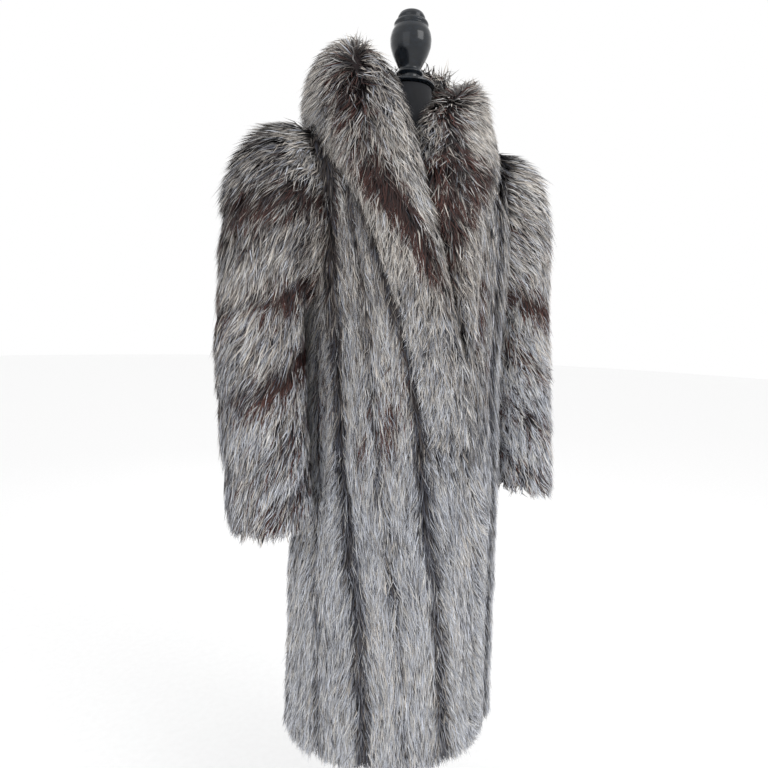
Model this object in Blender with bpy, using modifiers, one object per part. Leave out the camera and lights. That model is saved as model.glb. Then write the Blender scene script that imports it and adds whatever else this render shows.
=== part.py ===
"""A full-length fur coat on a limbless dress form with a turned finial, a pole and a round base.

Metres, +Z up. The origin is the centre of the base's underside on the floor, the coat's front faces -Y
and the wearer's right side is -X. Every fur piece is a wall: its inside is the hide, and its outside is
how far the fur stands off it. The walls are worked out from one body surface, written as (turn, level):
turn is the angle round the body in degrees, 0 at the centre front and positive to the wearer's left, and
level is the height up the side of the neck.
"""

import math

import bmesh
import bpy
import numpy as np

COLLECTION = "fur_coat_on_dress_form"

# Seams and joins
SEAM = 0.0004
TOUCH = 0.0005

# The body surface: rings of the hide up to the armholes, then a yoke that closes over the shoulders
HEM = 0.366
UNDERARM = 1.12
NECK_RIDGE = 1.452
YOKE_ROUND = 0.75
RIGHT_SHOULDER_SLOPE = 0.44
LEFT_SHOULDER_SLOPE = 0.28
RIDGE_FLAT = 0.09
#             level, half_width, half_depth, centre_y
BODY_RINGS = (
    (0.350, 0.188, 0.154, -0.004),
    (0.500, 0.184, 0.152, -0.003),
    (0.850, 0.182, 0.145, -0.001),
    (1.000, 0.176, 0.141, 0.000),
    (1.120, 0.178, 0.141, 0.000),
    (1.300, 0.190, 0.141, 0.000),
    (1.452, 0.200, 0.141, 0.000),
)
SHOULDER_TURN = 68.0
ARMHOLE_TURN = 22.0
ARMHOLE_RISE = 0.17
NECK_TURN = 28.0
NECK_DIP = 0.030
SKIRT_ROWS = 9
YOKE_ROWS = 8

# The fur: how far it stands off the hide
FUR = 0.026
FUR_GROOVE = 0.013
FUR_FAINT_GROOVE = 0.019
FUR_PRESSED = 0.005
FUR_BELOW_HEM = 0.012
STRIP_COLUMNS = (0.0, 0.2, 0.8)

# The lines between pelt strips, as turns at these levels
LINE_LEVELS = (0.350, 0.60, 0.85, 1.03, 1.25, 1.452)
#               name: turn at each level, fur left in the groove
STRIP_LINES = {
    "right_4": ((-63, -66, -70, -74, -66.5, -64.5), FUR_FAINT_GROOVE),
    "right_3": ((-37, -41, -51, -58, -61, -59), FUR_GROOVE),
    "right_2": ((-17, -22, -32, -38, -47, -50), FUR_FAINT_GROOVE),
    "right_1": ((4, -2, -11, -18, -34, -41), FUR_GROOVE),
    "left_0": ((26, 26, 25, 19, 12, 33), FUR_FAINT_GROOVE),
    "left_1": ((42, 41, 40, 38, 37, 42), FUR_GROOVE),
    "left_2": ((58, 58, 57, 55, 51, 52), FUR_FAINT_GROOVE),
    "left_3": ((75, 75, 74, 70, 62, 61), FUR_GROOVE),
    "back_left_4": ((108, 108, 108, 110, 117, 118), FUR_FAINT_GROOVE),
    "back_left_3": ((126, 126, 126, 127, 129, 129), FUR_GROOVE),
    "back_left_2": ((144, 144, 144, 144, 147, 152), FUR_FAINT_GROOVE),
    "back_left_1": ((162, 162, 162, 162, 162, 162), FUR_GROOVE),
    "back_centre": ((180, 180, 180, 180, 180, 180), FUR_FAINT_GROOVE),
    "back_right_1": ((198, 198, 198, 198, 198, 198), FUR_GROOVE),
    "back_right_2": ((216, 216, 216, 216, 213, 208), FUR_FAINT_GROOVE),
    "back_right_3": ((234, 234, 234, 233, 231, 231), FUR_GROOVE),
    "back_right_4": ((252, 252, 252, 250, 243, 242), FUR_FAINT_GROOVE),
}

# The front edges. The right front laps over the left one, which runs on beneath it.
#              level, turn
RIGHT_EDGE = (
    (0.350, 20.0),
    (0.850, 19.0),
    (0.930, 15.5),
    (0.980, 11.0),
    (1.100, -1.0),
    (1.210, -10.0),
    (1.270, -14.5),
    (1.320, -19.5),
    (1.360, -21.5),
    (1.405, -23.5),
    (1.452, -28.0),
)
LEFT_EDGE = (
    (0.350, -16.0),
    (1.100, -16.0),
    (1.280, -14.0),
    (1.355, -9.5),
    (1.405, -4.0),
    (1.452, 28.0),
)
FRONTS_PART = 1.330
LAP_LIFT = 0.0085
LAP_RAMP = 12.0
COVER_RAMP = 9.0

# The collar and lapels: their outer edge, and how they roll between it and the seam that they rise from
#               base_level, edge_turn, edge_level, rise, edge_rise, stand, fur
RIGHT_LAPEL = (
    (0.940, -9.0, 0.935, 0.026, 0.012, 0.0, 0.018),
    (1.035, -14.0, 1.030, 0.028, 0.014, 0.0, 0.020),
    (1.110, -20.0, 1.110, 0.031, 0.018, 0.0, 0.021),
    (1.200, -29.0, 1.200, 0.038, 0.024, 0.0, 0.022),
    (1.290, -37.0, 1.300, 0.055, 0.036, 0.1, 0.023),
    (1.355, -45.0, 1.360, 0.095, 0.065, 0.4, 0.024),
    (1.405, -52.0, 1.410, 0.140, 0.100, 0.8, 0.025),
    (1.452, -56.0, 1.452, 0.168, 0.132, 1.0, 0.026),
)
LEFT_LAPEL = (
    (1.110, 13.5, 1.110, 0.024, 0.014, 0.0, 0.013),
    (1.200, 12.5, 1.200, 0.030, 0.022, 0.0, 0.017),
    (1.290, 16.5, 1.300, 0.046, 0.034, 0.1, 0.021),
    (1.355, 27.0, 1.365, 0.072, 0.042, 0.4, 0.024),
    (1.405, 36.0, 1.415, 0.108, 0.036, 0.8, 0.025),
    (1.452, 44.0, 1.455, 0.155, 0.022, 1.0, 0.026),
)
#               turn past the centre back, edge_turn past it, edge_level, rise, edge_rise
BACK_COLLAR = (
    (-28.0, -44.0, 1.455, 0.155, 0.022),
    (-21.0, -37.0, 1.425, 0.280, 0.095),
    (-14.0, -28.0, 1.395, 0.290, 0.150),
    (0.0, 0.0, 1.365, 0.275, 0.190),
    (14.0, 29.0, 1.395, 0.225, 0.170),
    (28.0, 56.0, 1.452, 0.168, 0.132),
)
LEFT_LAPEL_TUCK = 10.5
LEFT_LAPEL_LIFT = 0.012
COLLAR_POINTS = 9
COLLAR_LEAN = 0.20
COLLAR_ROLL = 0.016
COLLAR_CLEAR = 0.012
COLLAR_SEAM = 0.0012

# The sleeves, as sections after the armhole: the point next to the body, the outer point, and the depth
#            inner_x, inner_z, outer_x, outer_z, centre_y, half_depth, fur
SLEEVE_SECTIONS = (
    (0.196, 1.130, 0.232, 1.400, 0.000, 0.072, 0.023),
    (0.198, 1.122, 0.268, 1.372, -0.001, 0.074, 0.025),
    (0.199, 1.112, 0.294, 1.325, -0.003, 0.071, 0.020),
    (0.200, 1.096, 0.304, 1.262, -0.006, 0.066, 0.027),
    (0.200, 1.070, 0.311, 1.180, -0.010, 0.061, 0.017),
    (0.200, 1.035, 0.316, 1.110, -0.015, 0.058, 0.027),
    (0.200, 0.985, 0.317, 1.010, -0.024, 0.056, 0.018),
    (0.200, 0.930, 0.316, 0.945, -0.034, 0.056, 0.027),
    (0.200, 0.872, 0.313, 0.872, -0.045, 0.056, 0.019),
    (0.200, 0.830, 0.310, 0.826, -0.053, 0.056, 0.026),
    (0.200, 0.800, 0.307, 0.796, -0.058, 0.055, 0.020),
)
SLEEVE_PRESSED = 0.0065
#            share of the flare kept, height that the cap stands up
RIGHT_HANG = (1.0, 0.0)
LEFT_HANG = (0.83, 0.018)

# The dress form under the coat
#             height, half_width, half_depth, centre_y
TORSO_RINGS = (
    (0.740, 0.150, 0.112, 0.004),
    (0.800, 0.160, 0.120, 0.004),
    (0.880, 0.158, 0.118, 0.003),
    (0.960, 0.138, 0.102, 0.001),
    (1.030, 0.122, 0.092, 0.000),
    (1.110, 0.134, 0.098, -0.004),
    (1.200, 0.156, 0.112, -0.008),
    (1.290, 0.166, 0.108, -0.004),
    (1.350, 0.171, 0.096, 0.000),
    (1.388, 0.172, 0.080, 0.000),
    (1.402, 0.169, 0.070, 0.000),
    (1.413, 0.158, 0.063, 0.001),
    (1.427, 0.130, 0.051, 0.001),
    (1.440, 0.096, 0.045, 0.000),
    (1.449, 0.068, 0.043, 0.000),
    (1.462, 0.051, 0.043, 0.000),
    (1.482, 0.043, 0.042, 0.000),
    (1.520, 0.040, 0.040, 0.000),
)
TORSO_SIDES = 32
TORSO_SQUARE = 2.3
#               radius, height above the neck's top, down the outside
NECK_CAP_PROFILE = (
    (0.0, 0.0130),
    (0.024, 0.0130),
    (0.027, 0.0118),
    (0.028, 0.0098),
    (0.030, 0.0090),
    (0.043, 0.0080),
    (0.0455, 0.0062),
    (0.0455, 0.0036),
    (0.043, 0.0018),
    (0.036, 0.0006),
    (0.034, 0.0),
    (0.0, 0.0),
)
FINIAL_PROFILE = (
    (0.0, 0.1180),
    (0.012, 0.1170),
    (0.021, 0.1125),
    (0.0245, 0.1060),
    (0.023, 0.1010),
    (0.0290, 0.0985),
    (0.0308, 0.0945),
    (0.0290, 0.0905),
    (0.0310, 0.0880),
    (0.0350, 0.0800),
    (0.0368, 0.0700),
    (0.0358, 0.0580),
    (0.0310, 0.0440),
    (0.0240, 0.0310),
    (0.0195, 0.0220),
    (0.0188, 0.0180),
    (0.0225, 0.0160),
    (0.0235, 0.0130),
    (0.0215, 0.0105),
    (0.0195, 0.0080),
    (0.0195, 0.0),
    (0.0, 0.0),
)
POLE_RADIUS = 0.016
COLLET_RADIUS = 0.024
COLLET_HEIGHT = 0.045
BASE_RADIUS = 0.20
#               radius, height above the floor, down the outside
BASE_PROFILE = (
    (0.0, 0.034),
    (0.026, 0.034),
    (0.032, 0.029),
    (0.040, 0.022),
    (0.110, 0.0165),
    (0.185, 0.013),
    (0.197, 0.010),
    (BASE_RADIUS, 0.006),
    (BASE_RADIUS, 0.0),
    (0.0, 0.0),
)
TURNED_STEPS = 32


def eased(at, rows, column):
    """The smooth curve through one column of a table whose first column is the place along it."""
    places = np.array([row[0] for row in rows], float)
    values = np.array([row[column] for row in rows], float)
    slopes = np.gradient(values, places)
    at = np.clip(at, places[0], places[-1])
    low = np.clip(np.searchsorted(places, at, side="right") - 1, 0, len(places) - 2)
    span = places[low + 1] - places[low]
    share = (at - places[low]) / span
    return (
        values[low] * (1 + 2 * share) * (1 - share) ** 2
        + slopes[low] * span * share * (1 - share) ** 2
        + values[low + 1] * share**2 * (3 - 2 * share)
        + slopes[low + 1] * span * share**2 * (share - 1)
    )


def left_edge(level):
    """The turn of the left front's edge, which runs beneath the right front below the neck."""
    tucked = eased(level, RIGHT_EDGE, 1) + LEFT_LAPEL_TUCK
    edge = eased(level, LEFT_EDGE, 1)
    return np.where(level > FRONTS_PART, np.maximum(edge, tucked), edge)


def smooth_step(value, low, high):
    """0 below low, 1 above high, and an even ease between."""
    share = np.clip((value - low) / (high - low), 0, 1)
    return share * share * (3 - 2 * share)


def hide_point(turn, level):
    """The points of the body surface at these turns and levels, as an array of (x, y, z)."""
    turn, level = np.broadcast_arrays(np.asarray(turn, float), np.asarray(level, float))
    angle = np.radians(turn)
    half_width = eased(level, BODY_RINGS, 1)
    half_depth = eased(level, BODY_RINGS, 2)
    centre_y = eased(level, BODY_RINGS, 3)
    rise = np.clip((level - UNDERARM) / (NECK_RIDGE - UNDERARM), 0, 1)
    close = (1 - rise ** (2 / YOKE_ROUND)) ** (YOKE_ROUND / 2)
    x = half_width * np.sin(angle)
    y = centre_y - half_depth * np.cos(angle) * close
    slope = np.where(x > 0, LEFT_SHOULDER_SLOPE, RIGHT_SHOULDER_SLOPE)
    drop = slope * np.maximum(np.abs(x) - RIDGE_FLAT, 0)
    z = level - drop * rise
    return np.stack([x, y, z], -1)


def hide_normal(turn, level):
    """The outward unit normals of the body surface."""
    turn, level = np.broadcast_arrays(np.asarray(turn, float), np.asarray(level, float))
    step = 0.002
    low = np.minimum(level, NECK_RIDGE) - step
    high = np.minimum(level + step, NECK_RIDGE)
    up = hide_point(turn, high) - hide_point(turn, low)
    round_body = hide_point(turn + 1, level) - hide_point(turn - 1, level)
    on_ridge = level > NECK_RIDGE - 1e-6
    up[on_ridge] = np.stack([0 * turn, np.sign(np.cos(np.radians(turn))), 0 * turn], -1)[on_ridge]
    normal = np.cross(round_body, up)
    return normal / np.linalg.norm(normal, axis=-1, keepdims=True)


def row_levels():
    """The levels of the panels' rows, from the hem to the shoulder seam."""
    skirt = np.linspace(HEM, UNDERARM, SKIRT_ROWS + 1)
    angles = np.radians(np.linspace(0, 90, YOKE_ROWS + 1)[1:])
    yoke = UNDERARM + (NECK_RIDGE - UNDERARM) * np.sin(angles) ** YOKE_ROUND
    return np.concatenate([skirt, yoke])


def side_turn(level):
    """The turn of the side seam and, above it, of the armhole's front edge."""
    left = 1 - np.clip((level - UNDERARM) / ARMHOLE_RISE, 0, 1)
    return np.where(level <= UNDERARM, 90.0, SHOULDER_TURN + ARMHOLE_TURN * left**2)


def strip_line(name, level):
    """The turn of a line between pelt strips."""
    return eased(level, tuple(zip(LINE_LEVELS, STRIP_LINES[name][0])), 1)


def lapel_edge(level, rows):
    """The turn of a lapel's outer edge at a level."""
    return eased(level, tuple((row[2], row[1]) for row in rows), 1)


def under_collar(turn, level):
    """How much the collar or a lapel covers the place: 1 beneath it, easing to 0 just past its edge."""
    point = hide_point(turn, level)
    reach = np.hypot(point[..., 0], point[..., 1])
    around = smooth_step(level, 1.33, 1.37) * (1 - smooth_step(reach, 0.185, 0.205))
    right_low = lapel_edge(level, RIGHT_LAPEL) - COVER_RAMP
    on_right = smooth_step(turn, right_low - COVER_RAMP, right_low)
    on_right = on_right * smooth_step(level, 0.84, 0.93)
    left_high = lapel_edge(level, LEFT_LAPEL) + COVER_RAMP
    on_left = 1 - smooth_step(turn, left_high, left_high + COVER_RAMP)
    on_left = on_left * smooth_step(level, 0.95, 1.05)
    return around, on_right, on_left


def behind_sleeve(turn, level):
    """1 where a sleeve hangs against the body, 0 clear of it."""
    side = np.abs(np.abs((turn + 180) % 360 - 180) - 90)
    near = 1 - smooth_step(side, 26, 40)
    return near * smooth_step(level, 0.70, 0.78) * (1 - smooth_step(level, 1.24, 1.40))


def shoulder_ease(level):
    """The share of the fur that is left where the fronts and back run up to the armhole and the ridge."""
    return 1 - 0.12 * smooth_step(level, 1.25, 1.45)


def wall_object(name, inner, outer, material, wrap=False):
    """A closed wall between two matching grids of points, open round its hollow.

    inner and outer are arrays of rows, columns and (x, y, z). With wrap, each row is a closed ring.
    """
    rows, columns = inner.shape[:2]
    points = np.concatenate([inner.reshape(-1, 3), outer.reshape(-1, 3)])
    across = columns if wrap else columns - 1

    def at(layer, row, column):
        return layer * rows * columns + row * columns + column % columns

    faces = []
    for row in range(rows - 1):
        for column in range(across):
            square = ((row, column), (row, column + 1), (row + 1, column + 1), (row + 1, column))
            faces.append([at(1, r, c) for r, c in square])
            faces.append([at(0, r, c) for r, c in reversed(square)])
    for column in range(across):
        for row, ends in ((0, (column + 1, column)), (rows - 1, (column, column + 1))):
            faces.append([at(1, row, ends[0]), at(1, row, ends[1]), at(0, row, ends[1]), at(0, row, ends[0])])
    if not wrap:
        for row in range(rows - 1):
            for column, ends in ((0, (row, row + 1)), (columns - 1, (row + 1, row))):
                faces.append(
                    [at(1, ends[0], column), at(1, ends[1], column), at(0, ends[1], column), at(0, ends[0], column)]
                )
    return mesh_object(name, points, faces, material)


def mesh_object(name, points, faces, material):
    """A smooth-shaded mesh object with outward faces, in the part's collection."""
    mesh = bpy.data.meshes.new(name)
    mesh.from_pydata([tuple(map(float, p)) for p in points], [], faces)
    shape = bmesh.new()
    shape.from_mesh(mesh)
    bmesh.ops.recalc_face_normals(shape, faces=shape.faces)
    bmesh.ops.triangulate(shape, faces=shape.faces, quad_method="SHORT_EDGE")
    if shape.calc_volume(signed=True) < 0:
        bmesh.ops.reverse_faces(shape, faces=shape.faces)
    shape.to_mesh(mesh)
    shape.free()
    mesh.shade_smooth()
    mesh.set_sharp_from_angle(angle=math.radians(50))
    mesh.materials.append(material)
    made = bpy.data.objects.new(name, mesh)
    bpy.data.collections[COLLECTION].objects.link(made)
    return made


def strip_columns(names, first, last, levels):
    """The turns of a panel's columns and the fur on them, as two grids of rows and columns.

    first and last are the turns of the panel's own edges, one for each level.
    """
    lines = [first] + [strip_line(name, levels) for name in names] + [last]
    grooves = [FUR_FAINT_GROOVE] + [STRIP_LINES[name][1] for name in names] + [FUR_FAINT_GROOVE]
    turns, fur = [], []
    for here, there, groove in zip(lines, lines[1:], grooves):
        for share in STRIP_COLUMNS:
            turns.append(here + share * (there - here))
            fur.append(np.full(len(levels), groove if share == 0 else FUR))
    turns.append(lines[-1])
    fur.append(np.full(len(levels), grooves[-1]))
    return np.stack(turns, 1), np.stack(fur, 1)


def squeeze(fur, cover):
    """The fur left where something lies on it."""
    return fur + (np.minimum(fur, FUR_PRESSED) - fur) * np.clip(cover, 0, 1)


def seam_shift(points, first_y, last_y, top_y):
    """Moves a panel's two side edges and its top edge off their seams, along Y."""
    points[:, 0, 1] += first_y
    points[:, -1, 1] += last_y
    points[-1, :, 1] += top_y
    return points


def body_panel(name, turns, levels, fur, lift, shifts, material):
    """One fur panel of the body, from its columns' turns, its rows' levels, its fur and its lift."""
    normals = hide_normal(turns, levels)
    inner = hide_point(turns, levels) + normals * lift[..., None]
    outer = inner + normals * fur[..., None]
    outer[0, :, 2] -= FUR_BELOW_HEM
    for points in (inner, outer):
        seam_shift(points, *shifts)
    return wall_object(name, inner, outer, material)


def right_front(levels, material):
    """The right front, which laps over the left one."""
    edge = eased(levels, RIGHT_EDGE, 1)
    names = ("right_4", "right_3", "right_2", "right_1")
    turns, fur = strip_columns(names, -side_turn(levels), edge, levels)
    grid_levels = np.repeat(levels[:, None], turns.shape[1], 1)
    around, on_right, _ = under_collar(turns, grid_levels)
    fur = squeeze(fur * shoulder_ease(grid_levels), np.maximum(around, on_right))
    fur = squeeze(fur, behind_sleeve(turns, grid_levels))
    lap_start = left_edge(levels)[:, None]
    lift = LAP_LIFT * smooth_step(turns, lap_start - LAP_RAMP - 5, lap_start - 5)
    shifts = (-SEAM / 2, 0, -SEAM / 2)
    return body_panel("right_front", turns, grid_levels, fur, lift, shifts, material)


def left_front(levels, material):
    """The left front, pressed flat where the right front lies over it."""
    names = ("left_0", "left_1", "left_2", "left_3")
    turns, fur = strip_columns(names, left_edge(levels), side_turn(levels), levels)
    grid_levels = np.repeat(levels[:, None], turns.shape[1], 1)
    around, _, on_left = under_collar(turns, grid_levels)
    fur = squeeze(fur * shoulder_ease(grid_levels), np.maximum(around, on_left))
    fur = squeeze(fur, behind_sleeve(turns, grid_levels))
    lap_end = eased(levels, RIGHT_EDGE, 1)[:, None]
    fur = squeeze(fur, 1 - smooth_step(turns, lap_end + 5, lap_end + 5 + LAP_RAMP))
    lift = np.zeros_like(turns)
    shifts = (0, -SEAM / 2, -SEAM / 2)
    return body_panel("left_front", turns, grid_levels, fur, lift, shifts, material)


def back_levels(turns, levels):
    """The back's levels, which dip along the neckline."""
    across = np.clip(np.abs(turns - 180) / NECK_TURN, 0, 1)
    dip = NECK_DIP * np.cos(across * math.pi / 2) ** 0.5
    ramp = np.clip((levels - UNDERARM) / (NECK_RIDGE - UNDERARM), 0, 1)[:, None]
    return levels[:, None] - dip * ramp**3


def back(levels, material):
    """The back, in one piece from side seam to side seam."""
    names = [name for name in STRIP_LINES if name.startswith("back")]
    turns, fur = strip_columns(names, 180 - side_turn(levels), 180 + side_turn(levels), levels)
    grid_levels = back_levels(turns, levels)
    around, _, _ = under_collar(turns, grid_levels)
    fur = squeeze(fur * shoulder_ease(grid_levels), around)
    fur = squeeze(fur, behind_sleeve(turns, grid_levels))
    lift = np.zeros_like(turns)
    shifts = (SEAM / 2, SEAM / 2, SEAM / 2)
    return body_panel("back", turns, grid_levels, fur, lift, shifts, material)


def armhole(levels):
    """The armhole's ring on the body surface: turns and levels, from the underarm up the front and down the back."""
    rows = levels[levels >= UNDERARM - 1e-9]
    front = side_turn(rows)
    turns = np.concatenate([front, 180 - front[-2:0:-1]])
    return turns, np.concatenate([rows, rows[-2:0:-1]])


def sleeve(name, side, hang, levels, material):
    """A sleeve: a tube of fur from the armhole to the open cuff. side is +1 for the wearer's left."""
    flare, cap_lift = hang
    ring_turns, ring_levels = armhole(levels)
    turns = ring_turns * side
    start = hide_point(turns, ring_levels)
    normals = hide_normal(turns, ring_levels)
    fur = FUR_FAINT_GROOVE * shoulder_ease(ring_levels)
    fur = squeeze(fur, behind_sleeve(turns, ring_levels))
    past = np.where(ring_turns > 90, ring_turns + 4, ring_turns - 4) * side
    away = start - hide_point(past, ring_levels)
    away[0] = (0, 0, 1)
    away[len(turns) // 2] = (side, 0, 0)
    away /= np.linalg.norm(away, axis=1, keepdims=True)
    start = start + away * SEAM
    lengths = np.linalg.norm(np.diff(np.vstack([start, start[:1]]), axis=0), axis=1)
    ring = 2 * math.pi * np.concatenate([[0], np.cumsum(lengths)[:-1]]) / lengths.sum()
    inner, outer = [start], [start + normals * fur[:, None]]
    facing = 0.5 + 0.5 * np.cos(ring)
    for inner_x, inner_z, outer_x, outer_z, centre_y, half_depth, depth in SLEEVE_SECTIONS:
        raised = outer_z + cap_lift * smooth_step(outer_z, 1.25, 1.37)
        reach = np.array([side * flare * (outer_x - inner_x) / 2, 0, (raised - inner_z) / 2])
        centre = np.array([side * inner_x, centre_y, inner_z]) + reach
        half = np.linalg.norm(reach)
        out = -np.cos(ring)[:, None] * reach / half
        forward = -np.sin(ring)[:, None] * np.array([0, 1.0, 0])
        flat = 1 + (SLEEVE_PRESSED / depth - 1) * smooth_step(facing, 0.55, 0.9)
        inner.append(centre + out * half + forward * half_depth)
        outward = out / half + forward / half_depth
        outward /= np.linalg.norm(outward, axis=1, keepdims=True)
        outer.append(inner[-1] + outward * (depth * flat)[:, None])
    inner, outer = np.array(inner), np.array(outer)
    outer[-1, :, 2] -= FUR_BELOW_HEM / 2
    return wall_object(name, inner, outer, material, wrap=True)


def lapel_stations(rows, levels):
    """A lapel's stations at the front panel's own rows, from its foot up to the shoulder seam."""
    base_level = levels[levels >= rows[0][0] - 0.001]
    base_turn = eased(base_level, RIGHT_EDGE, 1)
    edge_turn, edge_level, rise, edge_rise, stand, fur = (eased(base_level, rows, n) for n in range(1, 7))
    return [base_turn, base_level, edge_turn, edge_level, rise, edge_rise, stand, fur]


def back_stations(levels):
    """The back collar's stations at the back panel's own columns along the neckline."""
    names = [name for name in STRIP_LINES if name.startswith("back")]
    turns, _ = strip_columns(names, 180 - side_turn(levels), 180 + side_turn(levels), levels)
    top, top_levels = turns[-1], back_levels(turns, levels)[-1]
    inside = np.abs(top - 180) < NECK_TURN - 0.5
    across = top[inside] - 180
    edge_across, edge_level, rise, edge_rise = (eased(across, BACK_COLLAR, n) for n in range(1, 5))
    stand = np.ones_like(across)
    return [top[inside], top_levels[inside], 180 + edge_across, edge_level, rise, edge_rise, stand, FUR * stand]


def collar_grid(levels):
    """The collar's hide and fur surfaces, from the right lapel's foot round the neck to the left lapel's foot."""
    right = lapel_stations(RIGHT_LAPEL, levels)
    left = lapel_stations(LEFT_LAPEL, levels)
    tucked = left[0] + LEFT_LAPEL_TUCK
    left_lies = (tucked > left_edge(left[1]) - 0.01).astype(float)
    left[0] = np.maximum(left_edge(left[1]), tucked)
    behind = back_stations(levels)
    joined = [np.concatenate([r, b[::-1], l[::-1]]) for r, b, l in zip(right, behind, left)]
    base_turn, base_level, edge_turn, edge_level, rise, edge_rise, stand, fur = joined
    on_right = np.concatenate([1 + 0 * right[0], 0 * behind[0], 0 * left[0]])[:, None] * LAP_LIFT
    on_right = on_right * (1 - smooth_step(base_level, 1.36, 1.44)[:, None])
    lies = np.concatenate([0 * right[0], 0 * behind[0], left_lies[::-1]])[:, None]
    base = hide_point(base_turn, base_level)
    edge = hide_point(edge_turn, edge_level)
    base_normal = hide_normal(base_turn, base_level)
    edge_normal = hide_normal(edge_turn, edge_level)
    toward_edge = edge - base
    toward_edge /= np.linalg.norm(toward_edge, axis=1, keepdims=True)
    base = base + base_normal * (on_right + lies * LEFT_LAPEL_LIFT) - toward_edge * COLLAR_SEAM
    edge = edge + edge_normal * (COLLAR_CLEAR + on_right)
    upright = np.array([0, 0, 1.0])
    base_way = base_normal * (1 - stand[:, None]) + (upright + COLLAR_LEAN * toward_edge) * stand[:, None]
    edge_way = edge_normal * (1 - stand[:, None]) + (upright - COLLAR_LEAN * toward_edge) * stand[:, None]
    second = base + base_way * rise[:, None] - toward_edge * COLLAR_ROLL
    third = edge + edge_way * edge_rise[:, None]
    share = np.linspace(0, 1, COLLAR_POINTS)[None, :, None]
    hide = (
        base[:, None] * (1 - share) ** 3
        + 3 * second[:, None] * share * (1 - share) ** 2
        + 3 * third[:, None] * share**2 * (1 - share)
        + edge[:, None] * share**3
    )
    along = np.gradient(hide, axis=0)
    across = np.gradient(hide, axis=1)
    normal = np.cross(along, across)
    normal /= np.linalg.norm(normal, axis=2, keepdims=True)
    taper = 0.75 + 0.25 * smooth_step(share, 0, 0.3) - 0.40 * smooth_step(share, 0.8, 1)
    return hide, hide + normal * fur[:, None, None] * taper


def collar(levels, material):
    """The shawl collar with both lapels, in one piece."""
    hide, furred = collar_grid(levels)
    return wall_object("collar", hide, furred, material)


def ring_of(half_width, half_depth, centre_y, height, sides, square):
    """A closed ring, rounder than a rectangle and squarer than an ellipse."""
    angle = np.linspace(0, 2 * math.pi, sides, endpoint=False)
    x = np.sign(np.sin(angle)) * np.abs(np.sin(angle)) ** (2 / square)
    y = -np.sign(np.cos(angle)) * np.abs(np.cos(angle)) ** (2 / square)
    return np.stack([half_width * x, centre_y + half_depth * y, np.full(sides, height)], -1)


def form_torso(material):
    """The limbless torso and neck, whole and closed."""
    rings = []
    for height, half_width, half_depth, centre_y in TORSO_RINGS:
        square = TORSO_SQUARE if height < 1.40 else 2.0
        rings.append(ring_of(half_width, half_depth, centre_y, height, TORSO_SIDES, square))
    points = np.concatenate(rings)
    faces = [list(range(TORSO_SIDES)), list(range(len(points) - TORSO_SIDES, len(points)))]
    for row in range(len(rings) - 1):
        for column in range(TORSO_SIDES):
            after = (column + 1) % TORSO_SIDES
            low, high = row * TORSO_SIDES, (row + 1) * TORSO_SIDES
            faces.append([low + column, low + after, high + after, high + column])
    return mesh_object("form_torso", points, faces, material)


def turned(name, profile, base_height, material):
    """A turned shape: its profile runs down the outside, from the axis at the top to the axis below."""
    mesh = bpy.data.meshes.new(name)
    points = [(radius, 0.0, height + base_height) for radius, height in profile]
    mesh.from_pydata(points, [(i, i + 1) for i in range(len(points) - 1)], [])
    mesh.materials.append(material)
    made = bpy.data.objects.new(name, mesh)
    bpy.data.collections[COLLECTION].objects.link(made)
    screw = made.modifiers.new("turn", "SCREW")
    screw.steps = TURNED_STEPS
    screw.render_steps = TURNED_STEPS
    screw.use_merge_vertices = True
    screw.merge_threshold = 0.00005
    screw.use_smooth_shade = True
    return made


def rod(name, radius, bottom, top, material):
    """An upright round rod on the axis."""
    bpy.ops.mesh.primitive_cylinder_add(
        vertices=TURNED_STEPS, radius=radius, depth=top - bottom, location=(0, 0, (top + bottom) / 2)
    )
    made = bpy.context.active_object
    made.name = name
    made.data.name = name
    made.data.materials.append(material)
    made.data.shade_smooth()
    made.data.set_sharp_from_angle(angle=math.radians(40))
    for holder in list(made.users_collection):
        holder.objects.unlink(made)
    bpy.data.collections[COLLECTION].objects.link(made)
    return made


def material(name, colour, roughness, metallic=0.0):
    """A plain Principled material."""
    made = bpy.data.materials.new(name)
    made.use_nodes = True
    shader = made.node_tree.nodes["Principled BSDF"]
    shader.inputs["Base Color"].default_value = (*colour, 1)
    shader.inputs["Roughness"].default_value = roughness
    shader.inputs["Metallic"].default_value = metallic
    return made


def clear_scene():
    """Empties the scene and makes the part's collection."""
    for thing in list(bpy.data.objects):
        bpy.data.objects.remove(thing, do_unlink=True)
    bpy.context.scene.collection.children.link(bpy.data.collections.new(COLLECTION))


def dress_form():
    """The form that the coat rests on, from the neck's finial down to the base."""
    jersey = material("black_jersey", (0.012, 0.012, 0.014), 0.85)
    wood = material("black_wood", (0.02, 0.022, 0.026), 0.32)
    metal = material("black_steel", (0.02, 0.02, 0.022), 0.4, 0.6)
    torso_bottom, neck_top = TORSO_RINGS[0][0], TORSO_RINGS[-1][0]
    cap_top = neck_top + TOUCH + NECK_CAP_PROFILE[0][1]
    base_top = BASE_PROFILE[0][1]
    form_torso(jersey)
    turned("neck_cap", NECK_CAP_PROFILE, neck_top + TOUCH, wood)
    turned("finial", FINIAL_PROFILE, cap_top + TOUCH, wood)
    collet_bottom = torso_bottom - COLLET_HEIGHT
    rod("pole_collet", COLLET_RADIUS, collet_bottom, torso_bottom - TOUCH, metal)
    rod("pole", POLE_RADIUS, base_top + TOUCH, collet_bottom - TOUCH, metal)
    turned("base", BASE_PROFILE, 0.0, metal)


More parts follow.
